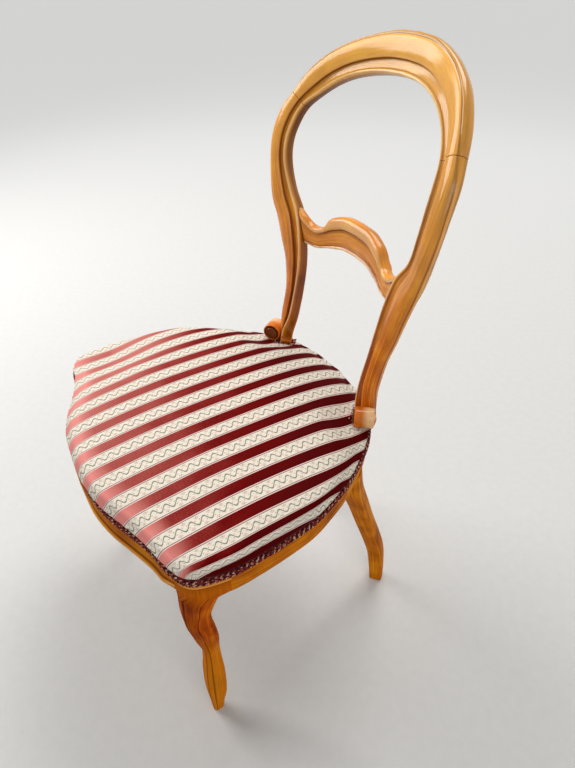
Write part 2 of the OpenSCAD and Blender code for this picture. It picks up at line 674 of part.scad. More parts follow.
// The origin lies on the floor below the middle of the chair
rear_y = max([for (i = [at_crest:at_top]) for (p = frame_ring(i)) p[1]]);
mid_y = (rear_y - gimp_t) / 2;
module placed() {
    translate([0, -mid_y, 0]) children();
}
module left() {
    mirror([1, 0, 0]) children();
}
placed() front_rail();
placed() left() side_rail();  // side_rail_left
placed() side_rail();  // side_rail_right
placed() back_rail();
placed() left() front_leg();  // front_leg_left
placed() front_leg();  // front_leg_right
placed() left() back_leg();  // back_leg_left
placed() back_leg();  // back_leg_right
placed() left() post();  // post_left
placed() post();  // post_right
placed() crest_rail();
placed() cross_splat();
placed() scroll_buttons();
placed() rail_dowels();
placed() crest_dowels();
placed() splat_dowels();
placed() corner_blocks();
placed() corner_block_screws();
placed() webbing_lengthwise();
placed() webbing_crosswise();
placed() webbing_tacks();
placed() seat_springs();
placed() spring_hessian();
placed() stuffing_pad();
placed() seat_cover();
placed() gimp_braid();
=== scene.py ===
# %% [markdown]
# A balloon back chair: a hoop back, a horseshoe seat frame on four legs, and a sprung seat in a striped
# cloth with a braid along its edge. The imported model gives the frame. Everything here is in metres, X to
# the right, Y to the back, Z up, and the chair faces -Y.
#
# This cell loads the frame and counts its solids.

# %% Load the frame
import bisect
import math

import bmesh
import bpy
from mathutils import Matrix, Vector
from mathutils.bvhtree import BVHTree


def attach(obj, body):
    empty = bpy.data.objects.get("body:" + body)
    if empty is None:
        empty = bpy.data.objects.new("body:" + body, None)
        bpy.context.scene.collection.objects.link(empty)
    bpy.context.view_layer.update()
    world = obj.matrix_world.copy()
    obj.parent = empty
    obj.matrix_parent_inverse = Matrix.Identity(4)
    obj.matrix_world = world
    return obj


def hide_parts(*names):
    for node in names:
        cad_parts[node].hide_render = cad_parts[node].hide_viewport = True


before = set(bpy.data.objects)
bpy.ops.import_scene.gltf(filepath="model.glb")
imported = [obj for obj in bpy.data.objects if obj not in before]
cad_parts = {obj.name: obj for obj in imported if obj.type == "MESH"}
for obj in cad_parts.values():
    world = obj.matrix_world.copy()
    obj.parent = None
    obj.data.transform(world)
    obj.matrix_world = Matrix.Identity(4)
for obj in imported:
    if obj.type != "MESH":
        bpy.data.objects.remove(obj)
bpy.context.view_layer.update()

print("solids in the frame:", len(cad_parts))

# %% [markdown]
# The photograph was taken from the chair's right front, a little above the hoop, with a phone held
# upright. The camera stands where that phone was: its place, its heading, how far it looks down and a
# slight roll fix the view, and the lens gives the width of the picture.

# %% Camera
scene = bpy.context.scene
heading = Vector((-0.8813, 0.4726, 0)).normalized()
down_angle, roll = math.radians(37.0), math.radians(0.834)
sight = heading * math.cos(down_angle) + Vector((0, 0, -math.sin(down_angle)))
aside = Vector((heading.y, -heading.x, 0))
below = sight.cross(aside)
camera = bpy.data.objects.new("camera", bpy.data.cameras.new("camera"))
camera.data.lens = 29.11
camera.data.sensor_width = 36
camera.data.clip_end = 50
right = aside * math.cos(roll) + below * math.sin(roll)
up = aside * math.sin(roll) - below * math.cos(roll)
turn = Matrix((right, up, -sight)).transposed().to_4x4()
camera.matrix_world = Matrix.Translation((0.680, -0.2993, 1.005)) @ turn
scene.collection.objects.link(camera)
scene.camera = camera
print("camera looks along", [round(v, 3) for v in sight])

# %% [markdown]
# The stage is a plain pale floor under soft light. A broad lamp from the left gives the sheen along the
# face of the hoop, one above lights the seat, a weak one at the right lifts the near side, and the world
# fills the shadows.

# %% Floor and light
scene.view_settings.view_transform = "Standard"


def lamp(name, place, target, size, power, colour):
    light = bpy.data.lights.new(name, "AREA")
    light.size, light.energy, light.color = size, power, colour
    ob = bpy.data.objects.new(name, light)
    ob.location = place
    ob.rotation_euler = (Vector(target) - Vector(place)).to_track_quat("-Z", "Y").to_euler()
    scene.collection.objects.link(ob)
    return ob


lamp("lamp_above", (-0.6, 0.9, 2.5), (0, 0.05, 0.5), 1.2, 34, (1.0, 0.985, 0.96))
lamp("lamp_left", (-1.7, -1.0, 1.85), (0, 0.1, 0.6), 1.4, 42, (1.0, 0.99, 0.97))
lamp("lamp_right", (2.2, -0.2, 1.5), (0, 0, 0.45), 1.5, 17, (1.0, 0.985, 0.96))
world = bpy.data.worlds.new("studio")
world.use_nodes = True
scene.world = world
sky = world.node_tree.nodes["Background"]
sky.inputs["Color"].default_value = (0.93, 0.93, 0.93, 1)
world_ray = world.node_tree.nodes.new("ShaderNodeLightPath")
shown = world.node_tree.nodes.new("ShaderNodeMath")
shown.operation = "MAXIMUM"
brightness = world.node_tree.nodes.new("ShaderNodeMapRange")
brightness.inputs[3].default_value, brightness.inputs[4].default_value = 0.31, 0.88
world.node_tree.links.new(world_ray.outputs["Is Camera Ray"], shown.inputs[0])
world.node_tree.links.new(world_ray.outputs["Is Glossy Ray"], shown.inputs[1])
world.node_tree.links.new(shown.outputs[0], brightness.inputs[0])
world.node_tree.links.new(brightness.outputs[0], sky.inputs["Strength"])

# %% [markdown]
# Materials are built from nodes. Two short helpers keep them readable: one adds a node and fills its
# sockets with numbers or links, and one writes a sum as a word and two values.

# %% Node helpers
def add(tree, kind, sockets=(), **settings):
    made = tree.nodes.new("ShaderNode" + kind)
    for key, value in settings.items():
        setattr(made, key, value)
    for key, value in dict(sockets).items():
        if isinstance(value, bpy.types.NodeSocket):
            tree.links.new(value, made.inputs[key])
        else:
            made.inputs[key].default_value = value
    return made


def sums(tree, word, a, b=0.0, c=0.0):
    return add(tree, "Math", {0: a, 1: b, 2: c}, operation=word).outputs[0]


def mix(tree, share, a, b):
    made = add(tree, "Mix", {"Factor": share}, data_type="RGBA")
    for socket, value in ((made.inputs[6], a), (made.inputs[7], b)):
        if isinstance(value, bpy.types.NodeSocket):
            tree.links.new(value, socket)
        else:
            socket.default_value = (*value, 1)
    return made.outputs[2]


def blank(name, **finish):
    material = bpy.data.materials.new(name)
    material.use_nodes = True
    shader = material.node_tree.nodes["Principled BSDF"]
    for key, value in finish.items():
        shader.inputs[key.replace("_", " ")].default_value = value
    return material, material.node_tree, shader


# %% [markdown]
# Webbing and hessian are jute in a plain weave: two sets of threads that cross. Two bands of waves, one
# each way, are multiplied into the colour and the bump. A stain of 1 on the cloth marks a dark line in it.

# %% Woven jute
def woven(name, dark, pale, pitch):
    material, tree, shader = blank(name, Roughness=0.9)
    where = add(tree, "TexCoord")
    threads = []
    for way in ("X", "Y"):
        threads.append(add(tree, "TexWave", {"Vector": where.outputs["Object"], "Scale": 1 / pitch / 6.283,
                       "Distortion": 1.2, "Detail": 1, "Detail Scale": 3}, bands_direction=way).outputs["Fac"])
    both = sums(tree, "MULTIPLY", threads[0], threads[1])
    lines = add(tree, "Attribute", attribute_name="stain_and_shading").outputs["Fac"]
    colour = mix(tree, sums(tree, "MULTIPLY", lines, 0.8), mix(tree, both, dark, pale), (0.03, 0.022, 0.016))
    tree.links.new(colour, shader.inputs["Base Color"])
    bump = add(tree, "Bump", {"Height": both, "Strength": 0.6, "Distance": 0.0006})
    tree.links.new(bump.outputs[0], shader.inputs["Normal"])
    return material


# %% [markdown]
# The wood is a honey coloured fruitwood under old varnish. Its grain is a stretched noise: long along the
# piece, fine across it. Broad patches are deeper or paler where the varnish is thick or worn. Bands of
# height can turn a wood to another tone: the back turns paler upward, partly bleached and partly a painted
# highlight. Each carved piece carries a stain on its points: 0 on the faces, 1 in a groove, under 0 on an
# edge. Above 0 the wood darkens: the grooves hold old dirt, but on the inner side of the hoop and at the
# foot of the quirk's step the darkening is painted shade. Below 0 the edges are rubbed pale, to a cream
# that is also a painted highlight. The coat on the shader gives the varnish its gloss. Four tones share
# these nodes: the back, the rails and back legs, the front legs, and the buttons.

# %% Wood
def wood(name, tones, rubbed_and_highlight, coat, height_tones=()):
    """tones: deep, middle, pale. faded: heights between which the wood turns, by what share, to which tone."""
    deep, middle, pale = tones
    material, tree, shader = blank(name, Coat_Weight=coat, Coat_Roughness=0.15, Coat_IOR=1.5,
                                   Specular_IOR_Level=0.0)
    where = add(tree, "TexCoord")
    run = add(tree, "Mapping", {"Vector": where.outputs["UV"], "Scale": (9, 260, 260)}).outputs[0]
    grain = add(tree, "TexNoise",
                {"Vector": run, "Scale": 1, "Detail": 5, "Roughness": 0.62, "Distortion": 0.35})
    patch = add(tree, "TexNoise",
                {"Vector": where.outputs["Object"], "Scale": 17, "Detail": 4, "Roughness": 0.55})
    share = sums(tree, "ADD", sums(tree, "MULTIPLY", grain.outputs["Fac"], 0.72),
                 sums(tree, "MULTIPLY", patch.outputs["Fac"], 0.6))
    ramp = add(tree, "ValToRGB", {"Fac": share})
    ramp.color_ramp.elements[0].position = 0.46
    ramp.color_ramp.elements[0].color = (*deep, 1)
    ramp.color_ramp.elements[1].position = 0.86
    ramp.color_ramp.elements[1].color = (*pale, 1)
    between = ramp.color_ramp.elements.new(0.66)
    between.color = (*middle, 1)
    place = add(tree, "SeparateXYZ", {"Vector": where.outputs["Object"]})
    light = ramp.outputs["Color"]
    for low, high, amount, tint in height_tones:
        height_share = add(tree, "MapRange", {"Value": place.outputs[2], 1: low, 2: high, 3: 0.0, 4: amount})
        light = mix(tree, height_share.outputs[0], light, tint)
    fine = add(tree, "Mapping", {"Vector": where.outputs["UV"], "Scale": (32, 1100, 1100)}).outputs[0]
    pores = add(tree, "TexNoise", {"Vector": fine, "Scale": 1, "Detail": 2, "Roughness": 0.5})
    pore = add(tree, "MapRange", {"Value": pores.outputs["Fac"], 1: 0.52, 2: 0.68, 3: 0.0, 4: 0.28})
    light = mix(tree, pore.outputs[0], light, deep)
    stain_and_shading = add(tree, "Attribute", attribute_name="stain_and_shading").outputs["Fac"]
    # Above 0 the wood darkens: dirt in the grooves, and painted shade on the hoop's inner side and at the foot
    # of the quirk's step.
    dirt = add(tree, "MapRange", {"Value": stain_and_shading, 1: 0.0, 2: 1.0, 3: 0.0, 4: 0.9}).outputs[0]
    # Below 0 the wood turns to the rubbed colour: worn edges, and a painted highlight.
    worn = add(tree, "MapRange", {"Value": stain_and_shading, 1: 0.0, 2: -1.0, 3: 0.0, 4: 0.8}).outputs[0]
    colour = mix(tree, worn, light, rubbed_and_highlight)
    colour = mix(tree, dirt, colour, (deep[0] * 0.3, deep[1] * 0.22, deep[2] * 0.6))
    tree.links.new(colour, shader.inputs["Base Color"])
    rough = add(tree, "MapRange", {"Value": patch.outputs["Fac"], 1: 0.3, 2: 0.7, 3: 0.24, 4: 0.42})
    tree.links.new(rough.outputs[0], shader.inputs["Roughness"])
    bump = add(tree, "Bump", {"Height": grain.outputs["Fac"], "Strength": 0.16, "Distance": 0.0006})
    tree.links.new(bump.outputs[0], shader.inputs["Normal"])
    return material


# The honey back turns paler from above the seat up to the crest: partly bleached wood, partly a painted
# highlight.
honey = wood("honey_wood", ((0.32, 0.060, 0.001), (0.70, 0.165, 0.002), (0.93, 0.40, 0.020)),
             rubbed_and_highlight=(0.95, 0.70, 0.36), coat=0.7, height_tones=[(0.5, 0.88, 0.68, (0.94, 0.54, 0.085))])
tawny = wood("tawny_wood", ((0.28, 0.062, 0.001), (0.58, 0.160, 0.002), (0.82, 0.33, 0.010)),
             rubbed_and_highlight=(0.90, 0.50, 0.13), coat=0.1)
amber = wood("amber_wood", ((0.19, 0.022, 0.001), (0.46, 0.076, 0.001), (0.72, 0.20, 0.006)),
             rubbed_and_highlight=(0.85, 0.42, 0.10), coat=0.06,
             height_tones=[(0.26, 0.10, 0.6, (0.74, 0.27, 0.008)), (0.35, 0.374, 0.6, (0.60, 0.165, 0.002))])
russet = wood("russet_wood", ((0.11, 0.022, 0.006), (0.21, 0.052, 0.012), (0.30, 0.09, 0.022)),
              rubbed_and_highlight=(0.5, 0.2, 0.06), coat=0.3)
print("woods:", honey.name, tawny.name, amber.name, russet.name)

# %% [markdown]
# Every curved wooden piece of the chair is a section carried along a path. Blender can roll a flat grid
# into such a skin: one side of the grid runs along the piece, the other goes round it. The grid comes
# from one operator, its vertices move to their places, and merging the doubles closes the seam. The same
# grid gives a UV map in metres, u along the piece and v round it, which the grain follows.

# %% Helpers for shapes
def curve_at(knots, s):
    """A point on the smooth curve through the knots."""
    i = max(0, min(int(s), len(knots) - 2))
    t, b, c = s - i, knots[i], knots[i + 1]
    a = knots[i - 1] if i else 2 * b - c
    d = knots[i + 2] if i + 2 < len(knots) else 2 * c - b
    return b + t * (c - a) / 2 + t * t * (a - 2.5 * b + 2 * c - d / 2) + t ** 3 * (1.5 * (b - c) + (d - a) / 2)


def steps(first, last, count):
    return [first + (last - first) * k / count for k in range(count + 1)]


def ease(x):
    """0 below 0, 1 above 1, and a soft step between."""
    x = max(0.0, min(1.0, x))
    return x * x * (3 - 2 * x)


def mirrored(points, side):
    """The points as they are for side 1, and their mirror image across the chair for side -1."""
    return [Vector((side * p.x, p.y, p.z)) for p in points]


def joined(bm, other):
    """Adds another shape to bm and frees it."""
    spare = bpy.data.meshes.new("spare")
    other.to_mesh(spare)
    other.free()
    bm.from_mesh(spare)
    bpy.data.meshes.remove(spare)


def rolled(bm, rows, stains=None, capped=True):
    """Rolls a grid into a skin over rows of points; stains gives each point of a row its stain."""
    m, n = len(rows) - 1, len(rows[0])
    uv = bm.loops.layers.uv.verify()
    stain_and_shading = bm.verts.layers.float.get("stain_and_shading") or bm.verts.layers.float.new("stain_and_shading")
    verts = bmesh.ops.create_grid(bm, x_segments=m, y_segments=n, size=1)["verts"]
    along, around = [0.0], [0.0]
    for a, b in zip(rows, rows[1:]):
        along.append(along[-1] + (sum(b, Vector()) - sum(a, Vector())).length / len(a))
    middle = rows[m // 2]
    for j in range(n):
        around.append(around[-1] + (middle[(j + 1) % len(middle)] - middle[j]).length)
    places = {}
    for v in verts:
        i, j = round((v.co.x + 1) / 2 * m), round((v.co.y + 1) / 2 * n)
        places[v] = (i, j)
        v.co = rows[i][j % len(rows[i])]
        if stains:
            level = stains[i] if isinstance(stains[0], (list, tuple)) else stains
            v[stain_and_shading] = level[j % len(level)]
    for face in {f for v in verts for f in v.link_faces}:
        for loop in face.loops:
            i, j = places[loop.vert]
            loop[uv].uv = (along[i], around[j])
    bmesh.ops.remove_doubles(bm, verts=verts, dist=1e-6)
    if capped:
        bmesh.ops.holes_fill(bm, edges=[e for e in bm.edges if e.is_boundary], sides=0)


def smooth_ring(points, fine):
    """A closed ring of points made finer, on a smooth curve through them."""
    n = len(points)
    ring = []
    for i in range(n):
        around = [points[(i + k) % n] for k in (-1, 0, 1, 2)]
        ring += [curve_at(around, 1 + k / fine) for k in range(fine)]
    return ring


def piece(name, bm, material, nodes=(), sharp=35):
    bmesh.ops.recalc_face_normals(bm, faces=bm.faces)
    mesh = bpy.data.meshes.new(name)
    bm.to_mesh(mesh)
    bm.free()
    mesh.shade_smooth()
    mesh.set_sharp_from_angle(angle=math.radians(sharp))
    mesh.materials.append(material)
    ob = bpy.data.objects.new(name, mesh)
    scene.collection.objects.link(ob)
    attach(ob, "root")
    if nodes:
        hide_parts(*nodes)
    print(name, len(mesh.polygons), "faces")
    return ob


# %% [markdown]
# The back is a hoop: two posts that rise from the seat, and a crest rail that closes them at the top. Both
# have one moulded section: a bead on the inner edge, a hollow, a dark line, a broad round face, and a
# groove before the outer side. Two curves in space, the inner and the outer front edge, carry it, so the
# section widens to the crest by itself. The tables are shares of the hoop's half width, of how far it
# leans back, and of its height, and are the same as in the solid model.

# %% Measures of the back
HALF_HOOP, RAKE, BACK_H, THICK = 0.1965, 0.138, 0.481, 0.019
RAIL_TOP, RAIL_H, RAIL_T = 0.410, 0.044, 0.026
RAIL_LOW = RAIL_TOP - RAIL_H
SHIFT = 0.262316
POST_FOOT = Vector((0, 0.375 - SHIFT, RAIL_TOP))
INNER = [(0.59, 0, 0), (0.555, 0.025, 0.073), (0.524, 0.095, 0.135), (0.528, 0.172, 0.221),
         (0.538, 0.235, 0.312), (0.568, 0.27, 0.392), (0.633, 0.292, 0.476), (0.745, 0.3, 0.541),
         (0.811, 0.283, 0.621), (0.824, 0.315, 0.687), (0.804, 0.392, 0.745), (0.765, 0.472, 0.786),
         (0.675, 0.577, 0.82), (0.569, 0.663, 0.852), (0.449, 0.736, 0.876), (0.306, 0.808, 0.892),
         (0.153, 0.859, 0.9), (0, 0.873, 0.903)]
OUTER = [(0.7, 0.13, 0), (0.686, 0.125, 0.073), (0.673, 0.116, 0.135), (0.68, 0.174, 0.221),
         (0.735, 0.207, 0.304), (0.79, 0.2, 0.368), (0.855, 0.196, 0.44), (0.92, 0.181, 0.504),
         (0.98, 0.218, 0.608), (1, 0.268, 0.69), (0.98, 0.357, 0.759), (0.911, 0.464, 0.815),
         (0.825, 0.576, 0.872), (0.695, 0.71, 0.923), (0.54, 0.826, 0.957), (0.37, 0.924, 0.98),
         (0.184, 0.985, 0.996), (0, 1, 1)]
JOINT, TOP = 11, 17


def back_knots(table):
    return [Vector((a * HALF_HOOP, b * RAKE, c * BACK_H)) for a, b, c in table]


def edge_point(knots, s):
    if s <= TOP:
        return curve_at(knots, s)
    p = curve_at(knots, 2 * TOP - s)
    return Vector((-p.x, p.y, p.z))


inner_edge, outer_edge = back_knots(INNER), back_knots(OUTER)


def hoop_axes(s):
    """The inner front corner, the way out to the outer edge, and the way forward, at a station."""
    corner, out = edge_point(inner_edge, s), edge_point(outer_edge, s) - edge_point(inner_edge, s)
    if s < 0.1:
        ahead = Vector((0, 0, 1))
    else:
        mids = [(edge_point(inner_edge, q) + edge_point(outer_edge, q)) / 2 for q in (s - 0.1, s + 0.1)]
        ahead = mids[1] - mids[0]
    return POST_FOOT + corner, out, out.cross(ahead).normalized()


# %% [markdown]
# The section's points go from the inner front edge outward, then round the back: share of the width,
# share of the thickness forward, and the stain. On the crest the outer groove is in the front face. Down
# the posts the face grows rounder, and the groove turns to the outer side, with a thin ridge behind it. So
# there are two sections, and a post passes smoothly from one to the other. At the foot the outer side
# swells into a small heel, rubbed pale and painted with a highlight, with a dark line above it. Across
# the hollow the stain rises to a dark line at the foot of the quirk's step: painted shadow of the step,
# with dirt in the quirk. The bead and the ridges are rubbed pale, partly a painted highlight. The crest's
# outer band is darker. The last points, on the inner side, are darker still: painted shade, with some
# grime.

# %% Posts and crest rail
CREST_SECTION = [(0, -0.14, 0.25), (0.008, -0.05, -0.4), (0.028, 0.015, -0.8), (0.06, 0.03, -0.7),
                 (0.088, 0.0, 0), (0.105, -0.06, 0.5), (0.14, -0.105, 0.1), (0.19, -0.15, 0),
                 (0.25, -0.185, 0), (0.31, -0.205, 0.15), (0.345, -0.205, 0.4), (0.362, -0.18, 0.9),
                 (0.368, -0.08, 1), (0.375, 0.01, 0.3), (0.395, 0.055, -0.3), (0.46, 0.1, 0), (0.55, 0.13, 0),
                 (0.64, 0.145, 0), (0.73, 0.14, 0), (0.81, 0.12, 0), (0.87, 0.085, 0), (0.912, 0.04, -0.2),
                 (0.930, -0.01, 0.6), (0.94, -0.045, 0.9), (0.952, -0.045, 0.6), (0.972, -0.05, 0.3),
                 (1.005, -0.1, 0.42), (1.03, -0.2, 0.46), (1.04, -0.35, 0.42), (1.032, -0.5, 0.3),
                 (1.01, -0.66, 0.2), (0.975, -0.8, 0.1), (0.92, -0.91, 0), (0.85, -0.97, 0), (0.74, -1, 0),
                 (0.55, -1, 0), (0.35, -1, 0), (0.18, -1, 0), (0.08, -0.98, 0), (0.02, -0.92, 0),
                 (0, -0.82, 0.65), (-0.008, -0.6, 0.75), (-0.008, -0.35, 0.72)]
POST_SECTION = [(0, -0.14, 0.3), (0.008, -0.05, -0.5), (0.028, 0.015, -0.9), (0.06, 0.03, -0.8),
                (0.088, 0.0, 0), (0.105, -0.06, 0.5), (0.14, -0.105, 0.15), (0.19, -0.15, 0),
                (0.25, -0.185, 0), (0.31, -0.205, 0.1), (0.345, -0.205, 0.35), (0.362, -0.18, 0.8),
                (0.366, -0.06, 0.9), (0.372, 0.04, 0.2), (0.39, 0.1, -0.3), (0.45, 0.155, 0), (0.54, 0.19, 0),
                (0.63, 0.2, 0), (0.72, 0.185, 0), (0.81, 0.145, 0), (0.885, 0.08, 0), (0.945, -0.01, 0),
                (0.985, -0.11, 0), (1.008, -0.22, 0.1), (1.012, -0.31, 0.5), (1.004, -0.36, 0.9),
                (1.018, -0.40, 0.1), (1.034, -0.46, -0.5), (1.034, -0.53, -0.3), (1.02, -0.59, 0.3),
                (0.998, -0.63, 0.8), (0.975, -0.68, 0.2), (0.935, -0.76, 0), (0.88, -0.85, 0), (0.8, -0.93, 0),
                (0.68, -0.985, 0), (0.48, -1, 0), (0.25, -1, 0), (0.08, -0.98, 0), (0.02, -0.92, 0),
                (0, -0.82, 0.65), (-0.008, -0.6, 0.75), (-0.008, -0.35, 0.72)]


def section_at(s):
    """The section at a station: the post's low down, the crest's above the joint, and in between a mix."""
    share = ease((min(s, 2 * TOP - s) - 8) / 4.5)
    pairs = zip(POST_SECTION, CREST_SECTION)
    return [tuple(a + (b - a) * share for a, b in zip(low, high)) for low, high in pairs]


STATION_RISE = 0.035


def heel(s):
    """At the foot: how far the outer side swells, how deep the line above it is, and the stain there."""
    z = STATION_RISE * s
    swell = 0.0030 * math.exp(-((z - 0.0100) / 0.0092) ** 2)
    line = 0.0017 * math.exp(-((z - 0.0218) / 0.0011) ** 2)
    # The level is pale on the heel below the line: worn wood, and a painted highlight.
    level = math.exp(-((z - 0.0220) / 0.0012) ** 2) - 0.9 * math.exp(-((z - 0.0165) / 0.0036) ** 2)
    return swell, line, level


def hoop_row(s, shrink=0.0, side=1):
    """A ring of points round the hoop, and their stains. The inner side is darker near the crest's joints:
    grime and painted shade.
    """
    corner, out, ahead = hoop_axes(s)
    swell, line, heel_level = heel(s) if s < 1.6 else (0, 0, 0)
    wide = out.normalized()
    row, stains = [], []
    grime_and_shade = 0.35 * math.exp(-((min(s, 2 * TOP - s) - JOINT) / 2.5) ** 2)
    for w, t, level in section_at(s):
        if w <= 0 and t < -0.3:
            level += grime_and_shade
        p = corner + w * out + t * THICK * ahead
        far = min(1, max(0, (w - 0.3) / 0.5))
        near_front = min(1, max(0, (t + 0.75) / 0.45))
        p += wide * (swell - line) * far * (0.3 + 0.7 * near_front)
        row.append(p + ahead * (0.5 * swell - line) * far * near_front)
        stains.append(level * (1 - min(1, abs(heel_level))) + heel_level * min(1, 0.3 + far))
    middle = sum(row, Vector()) / len(row)
    row = [p + (middle - p).normalized() * shrink for p in row]
    return mirrored(row, side), stains


def hoop_rows(first, last, count, side=1):
    """Rings from one station to another. An end that meets another piece has a fine bevel with dirt in it."""
    rings = [hoop_row(s, 0, side) for s in steps(first, last, count)]
    dirty = [1.0] * len(POST_SECTION)
    if last != TOP and last >= JOINT:
        rings[-1:] = [hoop_row(last - 0.02, 0, side), (hoop_row(last, 0.0006, side)[0], dirty)]
    if first == JOINT:
        rings[:1] = [(hoop_row(first, 0.0006)[0], dirty), hoop_row(first + 0.02)]
    return [ring[0] for ring in rings], [ring[1] for ring in rings]


crest = bmesh.new()
rolled(crest, *hoop_rows(JOINT, 2 * TOP - JOINT, 132))
piece("crest_rail_moulded", crest, honey, ["crest_rail"])

# %% [markdown]
# Each post curls forward into a scroll at its foot. On the real chair the scroll is cut from the same
# wood, a short drum across the post with a rim round its inner end. A profile that is spun about the
# drum's own axis gives the rim, the sunk ring inside it and the rounded edges, and then the drum is put
# in place on the post. The dirt lies in the sunk ring, and the drum's outer end is rubbed pale, to a
# cream that is also a painted highlight.

# %% Scrolls
SCROLL_MID = POST_FOOT + Vector((0.696 * HALF_HOOP, 0.018 * RAKE, 0.052 * BACK_H))
SCROLL_TURN = math.radians(52)
SCROLL_R, SCROLL_L = 0.015, 0.028
BUTTON_R = 0.010


def spun(bm, profile, turns=48):
    """A profile of (radius, height) spun about Z, from one point on the axis to another."""
    verts = [bm.verts.new((r, 0, h)) for r, h in profile]
    edges = [bm.edges.new(pair) for pair in zip(verts, verts[1:])]
    made = bmesh.ops.spin(bm, geom=verts + edges, cent=(0, 0, 0), axis=(0, 0, 1), angle=2 * math.pi,
                          steps=turns, use_merge=True)
    bmesh.ops.remove_doubles(bm, verts=bm.verts, dist=1e-6)
    return made


def on_scroll(bm, side):
    """Turns a drum made along Z onto the post: its foot end, at the lowest Z, faces in and forward."""
    bm.transform(Matrix.Rotation(math.radians(90), 4, "Y"))
    bm.transform(Matrix.Rotation(SCROLL_TURN, 4, "Z"))
    bm.transform(Matrix.Translation(SCROLL_MID))
    if side < 0:
        bm.transform(Matrix.Scale(-1, 4, (1, 0, 0)))


def drum():
    bm = bmesh.new()
    h = SCROLL_L / 2
    spun(bm, [(0, 0.0016 - h), (BUTTON_R - 0.0012, 0.0016 - h), (BUTTON_R + 0.0004, 0.0018 - h),
              (BUTTON_R + 0.0014, 0.0020 - h), (BUTTON_R + 0.0024, 0.0012 - h),
              (BUTTON_R + 0.003, 0.0003 - h), (BUTTON_R + 0.0037, -0.0001 - h),
              (SCROLL_R - 0.0007, 0.0001 - h), (SCROLL_R - 0.0001, 0.0008 - h),
              (SCROLL_R, 0.0018 - h), (SCROLL_R, -0.004), (SCROLL_R, 0.005), (SCROLL_R - 0.0003, h - 0.0018),
              (SCROLL_R - 0.001, h - 0.0006), (SCROLL_R - 0.0024, h), (0, h)])
    stain_and_shading = bm.verts.layers.float.new("stain_and_shading")
    for v in bm.verts:
        reach = math.hypot(v.co.x, v.co.y)
        if v.co.z < 0 and BUTTON_R - 0.002 < reach < BUTTON_R + 0.0026:
            v[stain_and_shading] = 1.0
        elif v.co.z > 0:
            v[stain_and_shading] = -0.75
    return bm


for side, word in ((1, "right"), (-1, "left")):
    post = bmesh.new()
    rolled(post, *hoop_rows(0, JOINT, 190, side))
    scroll = drum()
    on_scroll(scroll, side)
    bmesh.ops.recalc_face_normals(scroll, faces=scroll.faces)
    joined(post, scroll)
    piece("post_" + word + "_moulded", post, honey, ["post_" + word])

# %% [markdown]
# The turned buttons are darker than the scrolls. Each has a thin raised ring near its edge and a low dome
# inside it, which one more spun profile gives.

# %% Buttons
buttons = bmesh.new()
for side in (1, -1):
    one = bmesh.new()
    h = -SCROLL_L / 2
    spun(one, [(0, h), (BUTTON_R - 0.0004, h), (BUTTON_R, h - 0.0006), (BUTTON_R, h - 0.0020),
               (BUTTON_R - 0.0006, h - 0.0028), (BUTTON_R - 0.0014, h - 0.0030),
               (BUTTON_R - 0.0022, h - 0.0027), (BUTTON_R - 0.0026, h - 0.0019),
               (BUTTON_R - 0.0034, h - 0.0020), (BUTTON_R - 0.0050, h - 0.0026),
               (BUTTON_R - 0.0072, h - 0.0029), (0, h - 0.0030)])
    on_scroll(one, side)
    joined(buttons, one)
piece("scroll_buttons_turned", buttons, russet, ["scroll_buttons"])

# %% [markdown]
# The cross splat is bowed back between the posts. Its top rolls up to a hump in the middle, a groove runs
# under the roll, and a thin bead follows the lower edge. Each line along it ends exactly on the post's
# inner face: the loop below looks for that place line by line. The post's back edge is rounded, so the
# splat's back reaches a little further.

# %% Cross splat
SPLAT_H, SPLAT_Z, SPLAT_HOLLOW, SPLAT_T = 0.058, RAIL_TOP + 0.184, 0.024, 0.017
SPLAT_Y, SPLAT_LET_IN = POST_FOOT.y + 0.305 * RAKE, 0.0046
# shares: place along, bow, thickness, then the heights of the lower edge, the groove and the top
SPLAT_ROWS = [(0, 1, 1, 0.28, 0.83, 1.13), (0.15, 0.95, 1, 0.25, 0.8, 1.11),
              (0.265, 0.8, 1, 0.16, 0.67, 1.0), (0.325, 0.71, 0.985, 0.105, 0.575, 0.89),
              (0.365, 0.62, 0.965, 0.065, 0.495, 0.69), (0.43, 0.46, 0.92, 0, 0.4, 0.56),
              (0.51, 0.27, 0.86, 0, 0.44, 0.55), (0.58, 0.08, 0.8, 0.03, 0.58, 0.7),
              (0.66, 0, 0.76, 0.12, 0.75, 0.88)]
splat_knots = [Vector((along * HALF_HOOP, bow * SPLAT_HOLLOW, thick * SPLAT_T, low * SPLAT_H))
               for along, bow, thick, low, groove, top in SPLAT_ROWS]
splat_tops = [Vector((groove * SPLAT_H, top * SPLAT_H)) for along, bow, thick, low, groove, top in SPLAT_ROWS]
